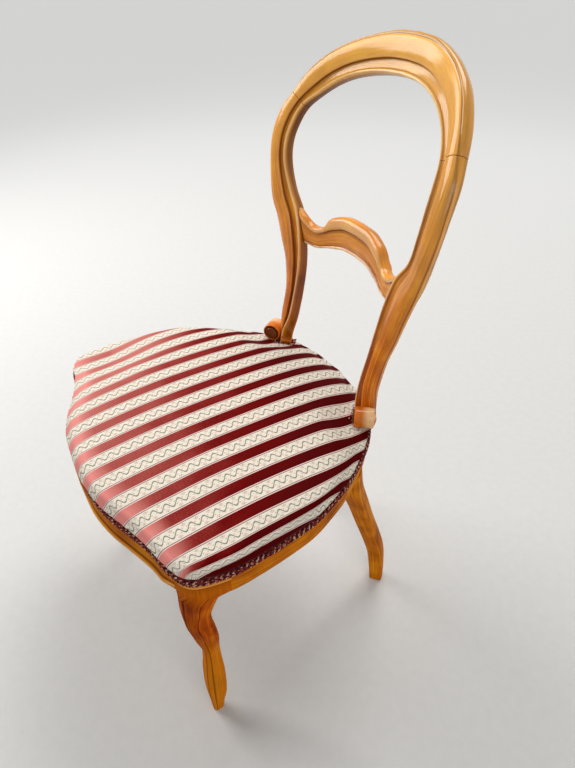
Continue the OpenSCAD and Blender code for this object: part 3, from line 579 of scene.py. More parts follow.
# share of the thickness to the back, from which height, share of the way to the next height, stain
# The lower bead and the front of the roll are rubbed pale, to a cream that is also a painted highlight.
SPLAT_SECTION = [(1, 0, 0.1, 0), (0.7, 0, 0.01, 0), (0.3, 0, 0, 0), (0.08, 0, 0.0, -0.3),
                 (-0.02, 0, 0.02, -0.7), (-0.09, 0, 0.06, -0.9), (-0.09, 0, 0.11, -0.6),
                 (-0.03, 0, 0.145, 0.2), (0.02, 0, 0.17, 0.8), (0.0, 0, 0.22, 0.1), (-0.03, 0, 0.4, 0),
                 (-0.035, 0, 0.58, 0), (0.0, 0, 0.78, 0.1), (0.07, 0, 0.93, 0.3), (0.1, 1, 0, 0.9),
                 (0.02, 1, 0.04, 0.6), (-0.1, 1, 0.1, -0.3), (-0.16, 1, 0.25, -0.5), (-0.17, 1, 0.45, -0.4),
                 (-0.13, 1, 0.65, -0.4), (-0.04, 1, 0.82, -0.3), (0.1, 1, 0.95, 0), (0.28, 1, 1.0, 0),
                 (0.5, 1, 1.0, 0), (0.72, 1, 0.95, 0), (0.88, 1, 0.84, 0), (0.97, 1, 0.66, 0), (1, 1, 0.4, 0),
                 (1, 0, 0.7, 0), (1, 0, 0.35, 0)]


def splat_point(s, deep, which, share):
    r, top = curve_at(splat_knots, s), curve_at(splat_tops, s)
    heights = (r[3], top[0], top[1])
    z = heights[which] + (heights[which + 1] - heights[which]) * share
    place = r[0] / HALF_HOOP
    if deep < 0:
        deep *= 1 - max(0.0, min(1.0, (place - 0.42) / 0.1))
    if which == 1 and 0 < share < 0.9:
        deep += 0.12 * math.exp(-((place - 0.39) / 0.03) ** 2)
    return Vector((r[0], SPLAT_Y + r[1] + deep * r[2], SPLAT_Z + z))


def post_face(z):
    """X of the post's inner face at a height."""
    low, high = 4.0, 8.0
    for turns in range(18):
        s = (low + high) / 2
        if (POST_FOOT + edge_point(inner_edge, s)).z < z:
            low = s
        else:
            high = s
    return (POST_FOOT + edge_point(inner_edge, low)).x


def splat_end(deep, which, share):
    """Where a line of the splat meets the post."""
    low, high = 4.0, 8.0
    let_in = SPLAT_LET_IN * max(0, deep) - 0.0002
    for turns in range(16):
        s = (low + high) / 2
        p = splat_point(s, deep, which, share)
        low, high = (s, high) if p.x < post_face(p.z) + let_in else (low, s)
    return low


ends = [splat_end(*point[:3]) for point in SPLAT_SECTION]
splat_lines = []
for share in steps(-1, 1, 84):
    row = []
    for (deep, which, height, level), end in zip(SPLAT_SECTION, ends):
        p = splat_point(abs(share) * end, deep, which, height)
        row.append(Vector((math.copysign(p.x, share), p.y, p.z)))
    splat_lines.append(row)
splat_stains = [[point[3] for point in SPLAT_SECTION] for line in splat_lines]
splat_stains[0] = splat_stains[-1] = [1.0] * len(SPLAT_SECTION)
splat = bmesh.new()
rolled(splat, splat_lines, splat_stains)
piece("cross_splat_carved", splat, honey, ["cross_splat"])

# %% [markdown]
# The seat frame follows one plan curve, from the middle of the front to the middle of the back. The rails,
# the braid and the cushion all read it, so they stay together. The rim helper gives a point on it, moved
# outward by a distance.

# %% Plan of the seat
HALF_SEAT, SEAT_D = 0.260, 0.421
PLAN = [(0, 0), (0.235, 0.006), (0.41, 0.029), (0.56, 0.064), (0.715, 0.099), (0.862, 0.12), (0.965, 0.158),
        (1, 0.262), (0.987, 0.361), (0.962, 0.46), (0.927, 0.556), (0.869, 0.639), (0.792, 0.727),
        (0.685, 0.817), (0.577, 0.89), (0.442, 0.947), (0.24, 0.986), (0, 1)]
plan_knots = [Vector((a * HALF_SEAT, b * SEAT_D)) for a, b in PLAN]
LEG_FRONT, LEG_SIDE, BACK_JOINT, BACK = 5, 7, 12, 17


def plan(s):
    p = curve_at(plan_knots, abs(s))
    return Vector((math.copysign(p.x, s), p.y))


def rim(s, out, z):
    """A point on the seat's plan, moved outward, at a height. The front's far half is worn in a little."""
    if abs(s + 2.9) < 2.1:
        out -= 0.0045 * (1 - ((s + 2.9) / 2.1) ** 2) ** 2
    if abs(s) >= BACK - 0.02:
        along = Vector((-1, 0))
    else:
        along = (plan(s + 0.02) - plan(s - 0.02)).normalized()
    p = plan(s) + Vector((along.y, -along.x)) * out
    return Vector((p.x, p.y - SHIFT, z))


# %% [markdown]
# The rails are sawn to the plan curve. The front rail has a bead along its lower edge, and the others
# have their lower edges eased. Each is one section, given as how far out and how high, carried along its
# part of the plan.

# %% Rails
LIP_LOW = RAIL_TOP - 0.020
# height, how far in from the plan, stain: the leg's block from its foot to the top of the lip
# Just under the lip the block is darkened: a painted shadow. The lip is rubbed pale, partly a painted
# highlight.
BLOCK = [(RAIL_LOW + 0.0005, 0.0022, 0.1), (RAIL_LOW + 0.010, 0.0018, 0.1), (LIP_LOW - 0.0045, 0.0020, 0.3),
         (LIP_LOW - 0.0022, 0.0022, 1.0), (LIP_LOW - 0.0008, 0.0008, 0.3), (LIP_LOW + 0.0012, -0.0008, -0.6),
         (LIP_LOW + 0.0035, -0.0016, -0.8), (LIP_LOW + 0.006, -0.0010, -0.3), (LIP_LOW + 0.009, 0.0004, 0),
         (RAIL_TOP, 0.0004, 0)]


def block_out(z):
    """How far out the leg's block stands at a height."""
    for (z0, in0, a), (z1, in1, b) in zip(BLOCK, BLOCK[1:]):
        if z <= z1:
            share = max(0.0, (z - z0) / (z1 - z0))
            return -(in0 + (in1 - in0) * share)
    return -BLOCK[-1][1]


# how far out, how far below the rail's top, stain
INSIDE = [(-0.0130, RAIL_H, 0), (-RAIL_T + 0.001, RAIL_H, 0), (-RAIL_T, RAIL_H - 0.001, 0),
          (-RAIL_T, 0.020, 0), (-RAIL_T, 0, 0), (-0.0130, 0, 0)]
# The bead along the lower edge is rubbed pale, partly a painted highlight.
FRONT_FACE = [(0, 0, 0), (0, 0.0100, 0.3), (0, 0.0130, 0.2), (-0.0002, 0.0165, 0.15), (0, 0.0195, 0.1),
              (0, 0.0220, 0.1), (0.0007, 0.0270, 0.15), (0.0017, 0.0315, 0.4), (0.0020, 0.0335, 0.9),
              (0.0032, 0.0340, 0.3), (0.0043, 0.0355, -0.4), (0.0048, 0.0378, -0.8), (0.0047, 0.0402, -0.5),
              (0.0039, 0.0423, 0), (0.0022, RAIL_H, 0)] + INSIDE
PLAIN_FACE = [(0, 0, 0), (0, 0.0100, 0), (0, 0.0130, 0), (0.0002, 0.0165, 0), (0.0003, 0.0195, 0),
              (0.0004, 0.0220, 0), (0.0004, 0.0280, 0), (0, 0.0360, 0), (-0.0005, 0.0405, 0),
              (-0.0014, 0.0428, 0), (-0.0028, RAIL_H, 0)] + INSIDE
FACE_DEPTH = 0.01


def rail_rows(face, places):
    """Rings of a rail. Near a front leg the outer face passes into the shape of the leg's block."""
    rows = []
    for s in places:
        share = 1 - ease(min(abs(abs(s) - LEG_FRONT), abs(abs(s) - LEG_SIDE)) / 0.6)
        row = []
        for out, drop, level in face:
            z = RAIL_TOP - drop
            if out > -FACE_DEPTH:
                out += (block_out(z) - out) * share
            row.append(rim(s, out, z))
        rows.append(row)
    return rows


def rail(name, face, places, node):
    bm = bmesh.new()
    rolled(bm, rail_rows(face, places), [level for out, drop, level in face])
    return piece(name, bm, tawny, [node])


rail("front_rail_shaped", FRONT_FACE, steps(-LEG_FRONT, LEG_FRONT, 80), "front_rail")
rail("side_rail_right_shaped", PLAIN_FACE, steps(LEG_SIDE, BACK_JOINT, 40), "side_rail_right")
rail("side_rail_left_shaped", PLAIN_FACE, steps(-BACK_JOINT, -LEG_SIDE, 40), "side_rail_left")
back_rows = rail_rows(PLAIN_FACE, steps(BACK_JOINT, BACK, 40))
back_rows += [mirrored(row, -1) for row in back_rows[-2::-1]]
back_bm = bmesh.new()
rolled(back_bm, back_rows, [0.0] * len(PLAIN_FACE))
piece("back_rail_shaped", back_bm, tawny, ["back_rail"])

# %% [markdown]
# A front leg is a cabriole: it swells at the knee, sweeps in and thins to the ankle, and ends in a narrow
# toe. Its rows are those of the solid model, made finer. On the knee two wavy carved lines border a
# face across the corner, and on the shin they run on as a plain arris with a groove beside it. At the top
# the leg becomes the corner of the seat frame, with a rounded lip under the braid.

# %% Front legs
# height, how far in, how far back, half width, how much of the outer corner is cut, all as shares
LEG = [(0.975, 0, -0.5, 0.95, 0.85), (0.93, 0.03, -1, 0.83, 0.8), (0.86, 0.12, -1.6, 0.71, 0.75),
       (0.8, 0.2, -1.3, 0.69, 0.65), (0.73, 0.32, -0.4, 0.68, 0.55), (0.63, 0.55, 0.8, 0.63, 0.5),
       (0.52, 0.9, 1.9, 0.53, 0.45), (0.44, 1.12, 2.6, 0.48, 0.4), (0.35, 1.2, 2.8, 0.52, 0.4),
       (0.27, 1.15, 2.6, 0.6, 0.4), (0.15, 1.03, 2.2, 0.58, 0.4), (0.055, 1, 1.9, 0.4, 0.45),
       (0, 1, 1.8, 0.32, 0.45)]
KNEE_HALF, FOOT_INSET, FOOT_SETBACK = 0.024, 0.034, 0.005
knee = rim(6, -KNEE_HALF, 0)
leg_knots = [Vector(row) for row in reversed(LEG)]
FINE = 5
LEG_POINTS = 12 * FINE
CARVED = (2 * FINE, 4 * FINE)


def leg_ring(row):
    h, inset, setback, half, cut = row
    wave = 0.07 * math.sin((h - 0.66) * 2 * math.pi / 0.17) * max(0, min(1, (h - 0.6) / 0.08))
    cut = cut + wave
    corners = [(-0.85, -0.9), (-0.1, -1), (1 - cut, -1), (1 - cut / 2.6, cut / 2.6 - 1), (1, cut - 1), (1, 0.1),
               (0.9, 0.85), (0.5, 1), (-0.3, 0.95), (-0.8, 0.8), (-0.95, 0.3), (-1, -0.4)]
    ring = smooth_ring([Vector((x, y, 0)) for x, y in corners], FINE)
    for at in CARVED:
        ring[at] = ring[at] * 1.03
        ring[at + 1] = ring[at + 1] * 0.955
    base = knee + Vector((-inset * FOOT_INSET, setback * FOOT_SETBACK, h * RAIL_LOW))
    return [base + p * half * KNEE_HALF for p in ring]


def block_ring(z, inset):
    """The block at the leg's top: its outer side follows the rim, and its other sides are straight."""
    stations = [LEG_FRONT + k * (LEG_SIDE - LEG_FRONT) / (6 * FINE) for k in range(6 * FINE + 1)]
    outer = [rim(station, -inset, z) for station in stations]
    a, b = rim(LEG_SIDE, -RAIL_T, z), rim(LEG_FRONT, -RAIL_T, z)
    corners = [outer[-1]] + [a + (b - a) * k / 4 for k in range(5)] + [outer[0]]
    straight = [a + (b - a) * j / FINE for a, b in zip(corners, corners[1:]) for j in range(FINE)]
    return outer[:-1] + straight


ring_stain = [0.0] * LEG_POINTS
for at in CARVED:
    ring_stain[at + 1] = 0.85
knee_stain = list(ring_stain)
for k in range(CARVED[0] + 1, CARVED[1]):
    knee_stain[k] = max(knee_stain[k], 0.3)

leg_rows, leg_stains = [], []
for s in steps(0, len(leg_knots) - 1, 84):
    row = curve_at(leg_knots, s)
    leg_rows.append(leg_ring(row))
    share = max(0.0, min(1.0, (row[0] - 0.55) / 0.1))
    leg_stains.append([a + (b - a) * share for a, b in zip(ring_stain, knee_stain)])
for z, inset, level in BLOCK:
    leg_rows.append(block_ring(z, inset))
    leg_stains.append([level] * LEG_POINTS)
for side, word in ((1, "right"), (-1, "left")):
    leg = bmesh.new()
    rolled(leg, [mirrored(row, side) for row in leg_rows], leg_stains)
    piece("front_leg_" + word + "_carved", leg, amber, ["front_leg_" + word], sharp=50)

# %% [markdown]
# The back legs are plainer: a square with eased corners that rakes out behind the chair in one sweep and
# leans in a little at the foot.

# %% Back legs
BACK_LEG = [(0, 1, 1, 0.82), (0.08, 1.04, 0.99, 0.9), (0.23, 1, 0.915, 0.98), (0.38, 0.9, 0.75, 1),
            (0.55, 0.72, 0.53, 1), (0.7, 0.52, 0.34, 1.02), (0.87, 0.2, 0.11, 1.06), (1, 0, 0, 1.08)]
BACK_LEG_T, BACK_RAKE, BACK_LEAN, BACK_LEG_TURN = 0.0275, 0.107, 0.043, math.radians(-46)
back_leg_top = rim(13.25, -0.55 * RAIL_T, 0)
SIDE = [(-0.3, -0.5), (0, -0.505), (0.3, -0.5), (0.42, -0.47), (0.47, -0.42)]
EASED = SIDE + [(-y, x) for x, y in SIDE] + [(-x, -y) for x, y in SIDE] + [(y, -x) for x, y in SIDE]
back_leg_knots = [Vector(row) for row in BACK_LEG]
back_leg_rows = []
for s in steps(0, len(BACK_LEG) - 1, 56):
    h, lean, rake, size = curve_at(back_leg_knots, s)
    middle = back_leg_top + Vector((-lean * BACK_LEAN, rake * BACK_RAKE, h * RAIL_LOW))
    turn = Matrix.Rotation(BACK_LEG_TURN, 3, "Z")
    back_leg_rows.append([middle + turn @ Vector((x, y, 0)) * BACK_LEG_T * size for x, y in EASED])
for side, word in ((1, "right"), (-1, "left")):
    leg = bmesh.new()
    rolled(leg, [mirrored(row, side) for row in back_leg_rows])
    piece("back_leg_" + word + "_shaped", leg, tawny, ["back_leg_" + word])

# %% [markdown]
# The cushion is a sprung seat: a crown of stuffing under a cover that is pulled over the rails and turns
# down to the braid. It starts as a closed form, rolled from rings between the middle and the rim. Then the
# cloth simulation pulls the cover taut over it, as an upholsterer does, while the rim stays pinned to the
# frame. The taut cover lies up to 12 mm below the crown of the solid.

# %% Cushion form
SEAT_LOW, FORM_CROWN = RAIL_TOP + 0.0016, 0.0394
# shares: place from the middle, height, and how much fuller it is where the edge is full
COVER_ROWS = [(0.06, 1, 0), (0.15, 0.995, 0), (0.3, 0.98, 0), (0.4, 0.955, 0), (0.5, 0.925, 0),
              (0.58, 0.885, 0.008), (0.66, 0.84, 0.015), (0.73, 0.785, 0.035), (0.79, 0.715, 0.065),
              (0.845, 0.64, 0.105),
              (0.89, 0.555, 0.155), (0.925, 0.47, 0.205), (0.955, 0.37, 0.25), (0.978, 0.26, 0.28),
              (0.992, 0.15, 0.26), (1, 0.05, 0.14)]
OVERHANG = 0.0015
seat_mid = Vector((0, 0.473 * SEAT_D - SHIFT, 0))
RIM_STEPS = 170
seat_places = [-BACK + 2 * BACK * k / RIM_STEPS for k in range(1, RIM_STEPS + 1)]


def hump(x, middle, spread):
    """1 in the middle, falling away softly on both sides."""
    return math.exp(-((x - middle) / spread) ** 2)


def seat_row(share, high, out, fuller=0.0):
    """A ring of the cushion. Its edge is full at the front and the sides, and its front corners are low."""
    row = []
    for s in seat_places:
        ahead_of_back = 1 - ease((abs(s) - 10) / 4)
        full = ahead_of_back * (1 - 0.85 * hump(s, -4.8, 2.6)) * (1 if s > 0 else 0.8)
        depth, centre, spread = (0.2, 6, 1.7) if s > 0 else (0.62, 6.2, 1.9)
        low = 1 - depth * hump(abs(s), centre, spread) * ease((share - 0.45) / 0.45)
        bulge = 0.0065 * hump(s, 0.8, 2) + 0.0045 * ease((s - 2.5) / 2) + 0.0035 * ease((-s - 7) / 1.5)
        proud = (bulge * ahead_of_back + OVERHANG) * min(1.0, fuller / 0.1)
        p = rim(s, out + proud, 0)
        q = seat_mid + (p - seat_mid) * share
        row.append(Vector((q.x, q.y, SEAT_LOW + FORM_CROWN * (high + fuller * full) * low)))
    return row


cushion_rows = [seat_row(share, 0, -0.003) for share in (0.05, 0.3, 0.6, 0.85)]
cushion_rows += [seat_row(1, 0, -0.002), seat_row(1, -0.03, 0.0018), seat_row(1, -0.005, 0.0026)]
cushion_rows += [seat_row(share, high, 0.0026, fuller) for share, high, fuller in reversed(COVER_ROWS)]
cushion = bmesh.new()
rolled(cushion, cushion_rows)
bmesh.ops.recalc_face_normals(cushion, faces=cushion.faces)
cushion_mesh = bpy.data.meshes.new("seat_cushion")
cushion.to_mesh(cushion_mesh)
cushion.free()
seat = bpy.data.objects.new("seat_cushion", cushion_mesh)
scene.collection.objects.link(seat)
print("cushion form:", len(cushion_mesh.polygons), "faces")


# %% [markdown]
# A voxel remesh gives the cloth even faces. The pinned points are those near the rim, which the braid
# holds. The cloth shrinks a little against a light pressure from inside and settles for twenty frames. No
# point may end further from its start than the cap. The top is then smoothed, as wadding does.

# %% Cushion simulation
def baked(ob):
    """The object's mesh with its modifiers applied."""
    bpy.context.view_layer.update()
    graph = bpy.context.evaluated_depsgraph_get()
    mesh = bpy.data.meshes.new_from_object(ob.evaluated_get(graph))
    old = ob.data
    ob.modifiers.clear()
    ob.data = mesh
    bpy.data.meshes.remove(old)


CAP, CLOTH_FRAMES = 0.006, 20
remesh = seat.modifiers.new("even", "REMESH")
remesh.mode, remesh.voxel_size = "VOXEL", 0.006
baked(seat)
held = seat.vertex_groups.new(name="held")
held.add([v.index for v in seat.data.vertices if v.co.z < RAIL_TOP + 0.006], 1.0, "ADD")
before = [v.co.copy() for v in seat.data.vertices]
cloth = seat.modifiers.new("cloth", "CLOTH")
cloth.settings.quality = 5
cloth.settings.mass = 0.3
cloth.settings.tension_stiffness = 15
cloth.settings.bending_stiffness = 2
cloth.settings.use_pressure = True
cloth.settings.uniform_pressure_force = 4
cloth.settings.shrink_min = 0.03
cloth.settings.vertex_group_mass = "held"
cloth.settings.effector_weights.gravity = 0
for number in range(1, CLOTH_FRAMES + 1):
    scene.frame_set(number)
baked(seat)
scene.frame_set(1)
far = 0.0
for v, start in zip(seat.data.vertices, before):
    step = v.co - start
    far = max(far, step.length)
    if step.length > CAP:
        v.co = start + step.normalized() * CAP
print("cloth moved up to", round(far * 1000, 1), "mm, capped at", CAP * 1000)
taut = bmesh.new()
taut.from_mesh(seat.data)
taut.normal_update()
free = [v for v in taut.verts if v.co.z > RAIL_TOP + 0.008]
top = [v for v in free if v.normal.z > 0.93]
for verts, turns in ((top, 12), (free, 2)):
    for turn in range(turns):
        bmesh.ops.smooth_vert(taut, verts=verts, factor=0.5,
                              use_axis_x=True, use_axis_y=True, use_axis_z=True)
taut.to_mesh(seat.data)
taut.free()
print("cushion:", len(seat.data.vertices), "points")

# %% [markdown]
# The cover is cut round the foot of each post and dips towards it. The dip comes first, as a soft push
# down near each foot. The cutter made here is a slim block, shaped like the foot in plan, with a drum round
# the scroll. Further on a boolean takes it out of the hessian and the cushion, and the braid that runs round
# the foot hides the cut edge.

# %% Cushion round the posts
def foot_plan(gap, reach):
    """The plan of a post's foot: its inner front corner first, grown by a gap and carried outward."""
    corner, out, ahead = hoop_axes(0)
    wide, back = out.normalized(), -ahead
    a = corner - gap * wide - gap * back
    w, t = out.length + reach, THICK + 2 * gap
    return [a, a + w * wide, a + w * wide + t * back, a + t * back]


foot = foot_plan(0.0, 0)
foot_mid = sum(foot, Vector()) / 4
FOOT_ROUNDS = ((foot_mid.xy, 0.014), (SCROLL_MID.xy - Vector((0.004, 0.006)), 0.013))
DIP_REACH, DIP_FLOOR, DIP_SHARE = 0.05, RAIL_TOP + 0.010, 0.86


def away_from_foot(p):
    """How far a point is, in plan, from the nearer post's foot and scroll."""
    q = Vector((abs(p.x), p.y))
    best = 1.0
    for place, size in FOOT_ROUNDS:
        best = min(best, (q - place).length - size)
    return max(0.0, best)


tool = bmesh.new()
for side in (1, -1):
    verts = [tool.verts.new((side * p.x, p.y, RAIL_TOP - 0.02)) for p in foot_plan(0.0038, 0.06)]
    face = tool.faces.new(verts)
    lifted = bmesh.ops.extrude_face_region(tool, geom=[face])["geom"]
    bmesh.ops.translate(tool, verts=[g for g in lifted if isinstance(g, bmesh.types.BMVert)], vec=(0, 0, 0.12))
    one = bmesh.new()
    bmesh.ops.create_cone(one, cap_ends=True, segments=40, radius1=SCROLL_R + 0.001,
                          radius2=SCROLL_R + 0.001, depth=SCROLL_L + 0.006)
    on_scroll(one, side)
    joined(tool, one)
bmesh.ops.recalc_face_normals(tool, faces=tool.faces)
tool_mesh = bpy.data.meshes.new("cutter")
tool.to_mesh(tool_mesh)
tool.free()
cutter = bpy.data.objects.new("cutter", tool_mesh)
scene.collection.objects.link(cutter)

for v in seat.data.vertices:
    share = ease(1 - away_from_foot(v.co) / DIP_REACH)
    if v.co.z > DIP_FLOOR:
        v.co.z += (DIP_FLOOR - v.co.z) * DIP_SHARE * share

# %% [markdown]
# A hessian cloth lies over the springs and is tacked to the rails. It is stretched, so it is flat on the
# springs and the rails and sags a little between them. Under the posts' feet it is cut as the cover is.

# %% Hessian
SPRINGS = [(0, 0)] + [(i, j) for i in (-1, 1) for j in (-1, 1)]
WEB_X, WEB_Y, WEB_MID_Y = 0.104, 0.18 * SEAT_D, 0.525 * SEAT_D - SHIFT
spring_mids = [Vector((i * WEB_X, WEB_MID_Y + j * WEB_Y)) for i, j in SPRINGS]
SPRING_R, HESSIAN_IN, HESSIAN_T, HESSIAN_LIFT, SAG = 0.036, -0.0035, 0.001, 0.0002, 0.0014
HESSIAN_SHARES = (0.02, 0.1, 0.2, 0.3, 0.4, 0.5, 0.6, 0.7, 0.8, 0.88, 0.94, 1)


def hessian_row(share, lift):
    row = []
    for s in seat_places:
        edge = rim(s, HESSIAN_IN, 0)
        q = seat_mid + (edge - seat_mid) * share
        free = min((q.xy - mid).length for mid in spring_mids) - SPRING_R
        sag = SAG * ease(free / 0.03) * ease((1 - share) / 0.25)
        row.append(Vector((q.x, q.y, RAIL_TOP + HESSIAN_LIFT + lift - sag)))
    return row


def cut_out(ob):
    """Takes the cutter's shape, the posts' feet and scrolls, out of a piece."""
    notch = ob.modifiers.new("feet", "BOOLEAN")
    notch.operation, notch.solver, notch.object = "DIFFERENCE", "EXACT", cutter
    baked(ob)


hessian = bmesh.new()
rolled(hessian, [hessian_row(share, 0) for share in HESSIAN_SHARES]
       + [hessian_row(share, HESSIAN_T) for share in reversed(HESSIAN_SHARES)])
hessian_jute = woven("hessian_cloth", (0.22, 0.15, 0.07), (0.44, 0.33, 0.19), 0.0018)
hessian_piece = piece("hessian_cloth_stretched", hessian, hessian_jute, ["spring_hessian"])
hessian_edge = [rim(s, HESSIAN_IN, 0) for s in seat_places]
hessian_corners = zip(hessian_edge, hessian_edge[1:] + hessian_edge[:1])
hessian_area = abs(sum(a.x * b.y - a.y * b.x for a, b in hessian_corners)) / 2
cut_out(hessian_piece)
print("hessian:", round(hessian_area, 4), "square metres")

# %% [markdown]
# The stripes run from front to back, so the cloth needs a flat map. Rays cast down on the cushion give its
# height on an even net of places. The lengths of the net's threads, added up from the middle outward, are
# the map: u across the stripes and v along them, in metres of cloth.

# %% Cloth map
seat.data.update()
net = BVHTree.FromObject(seat, bpy.context.evaluated_depsgraph_get())
NX, NY, GAP, NET_FORWARD = 90, 74, 0.006, 0.05
heights = {}
for i in range(-NX // 2, NX // 2 + 1):
    for j in range(-NY // 2, NY // 2 + 1):
        place = net.ray_cast(Vector((i * GAP, j * GAP - NET_FORWARD, 1)), Vector((0, 0, -1)))[0]
        heights[i, j] = place.z if place else RAIL_TOP
across, lengthways = {}, {}


def thread(i, j, di, dj, table):
    """Adds up the length of one thread outward from the middle."""
    total, last = 0.0, heights[i, j]
    table[i, j] = 0.0
    while (i + di, j + dj) in heights:
        i, j = i + di, j + dj
        now = heights[i, j]
        total += math.hypot(GAP, min(abs(now - last), 0.03))
        last = now
        table[i, j] = total * (di or dj)


for j in range(-NY // 2, NY // 2 + 1):
    for di in (1, -1):
        thread(0, j, di, 0, across)
for i in range(-NX // 2, NX // 2 + 1):
    for dj in (1, -1):
        thread(i, 0, 0, dj, lengthways)


def look_up(table, x, y):
    """The value of a table at a place, between four knots of the net."""
    a, b = x / GAP, (y + NET_FORWARD) / GAP
    i, j = math.floor(a), math.floor(b)
    i, j = max(-NX // 2, min(NX // 2 - 1, i)), max(-NY // 2, min(NY // 2 - 1, j))
    s, t = a - i, b - j
    low = table[i, j] * (1 - s) + table[i + 1, j] * s
    high = table[i, j + 1] * (1 - s) + table[i + 1, j + 1] * s
    return low * (1 - t) + high * t


RING = 680
ring_points = [rim(-BACK + 2 * BACK * k / RING, 0, 0) for k in range(RING)]
ring_angles = [math.atan2(p.y - seat_mid.y, p.x) for p in ring_points]
ring_order = sorted(range(RING), key=lambda k: ring_angles[k])
sorted_angles = [ring_angles[k] for k in ring_order]


def rim_towards(x, y):
    """The rim's point in the direction of a place in plan, and the way outward there."""
    k = ring_order[min(RING - 1, bisect.bisect(sorted_angles, math.atan2(y - seat_mid.y, x)))]
    along = (ring_points[(k + 2) % RING] - ring_points[k - 2]).normalized()
    return ring_points[k], Vector((along.y, -along.x))


# %% [markdown]
# On the sides the cloth turns down from the shoulder to the braid. There the map goes on by the length of
# the cloth. It is gathered on the near side, where more cloth is held in the same height. The map is then
# written on the cut cover. A second value, turned, tells how far the cloth turns down at the front, where
# the plush is painted paler as a painted sheen.

# %% Cover cut and mapped
SHOULDER, GATHER, GATHER_NEAR, GATHER_DROP = 0.88, 0.11, 0.75, 0.012


def cloth_place(co):
    """The cloth map of a point. On the sides the cloth goes on down from the shoulder."""
    edge, outward = rim_towards(co.x, co.y)
    from_mid = Vector((co.x, co.y - seat_mid.y))
    reach = (edge - seat_mid).xy.length
    share = from_mid.length / reach
    if share < SHOULDER:
        return look_up(across, co.x, co.y), look_up(lengthways, co.x, co.y)
    q = from_mid * (SHOULDER / share)
    base = Vector((look_up(across, q.x, q.y + seat_mid.y), look_up(lengthways, q.x, q.y + seat_mid.y)))
    top = look_up(heights, q.x, q.y + seat_mid.y)
    step = from_mid - q
    out = step.dot(outward)
    drop = max(0.0, top - co.z)
    gathered = GATHER + GATHER_NEAR * max(0.0, outward.x)
    length = math.hypot(out, drop) * (1 + gathered * min(1.0, drop / GATHER_DROP))
    place = base + (step - out * outward) + length * outward
    return place.x, place.y


def mapped(mesh):
    """Writes the cloth map and the turned attribute on a mesh."""
    layer = mesh.uv_layers.get("UVMap") or mesh.uv_layers.new(name="UVMap")
    # turned: how far the cloth turns down at the front; the plush's painted sheen reads it.
    turned = mesh.attributes.new("turned", "FLOAT", "POINT")
    for v in mesh.vertices:
        edge, outward = rim_towards(v.co.x, v.co.y)
        share = Vector((v.co.x, v.co.y - seat_mid.y)).length / (edge - seat_mid).xy.length
        turned.data[v.index].value = ease((share - 0.82) / 0.18) * max(0, -0.95 * outward.y - 0.3 * outward.x)
    values = [cloth_place(v.co) for v in mesh.vertices]
    for loop in mesh.loops:
        layer.data[loop.index].uv = values[loop.vertex_index]


cut_out(seat)
bpy.data.objects.remove(cutter)
finer = seat.modifiers.new("finer", "SUBSURF")
finer.levels = finer.render_levels = 1
baked(seat)
mapped(seat.data)
print("cushion after the cut:", len(seat.data.polygons), "faces")

# %% [markdown]
# The cover is a striped cloth: plush burgundy stripes between cream ones that carry a small wave, a fine
# line along each edge and sprigs in the wave's hollows. Stripes and waves of this kind are traditional.
# Everything is worked out from the cloth map in metres: the distance from the middle of a cream stripe
# decides between plush, edge line and ground, and a sine of the length gives the wave. The plush is
# painted paler towards the front and the near edge, most where it turns down: a painted sheen, read from
# how the surface faces, where it lies and the turned value.

# %% Striped cloth
PERIOD, CREAM_HALF, WAVE, WAVE_LENGTH, START, SLANT = 0.0411, 0.0122, 0.0043, 0.0168, -0.0057, 0.062


def mask(tree, value, full, gone):
    """1 where the value is under full, 0 where it is over gone."""
    return add(tree, "MapRange", {"Value": value, 1: full, 2: gone, 3: 1.0, 4: 0.0},
               interpolation_type="SMOOTHSTEP").outputs[0]


def distance(tree, a, b, a0, b0):
    """How far the place (a, b) is from (a0, b0)."""
    sides = {0: sums(tree, "SUBTRACT", a, a0), 1: sums(tree, "SUBTRACT", b, b0)}
    gap = add(tree, "CombineXYZ", sides).outputs[0]
    return add(tree, "VectorMath", {0: gap}, operation="LENGTH").outputs["Value"]


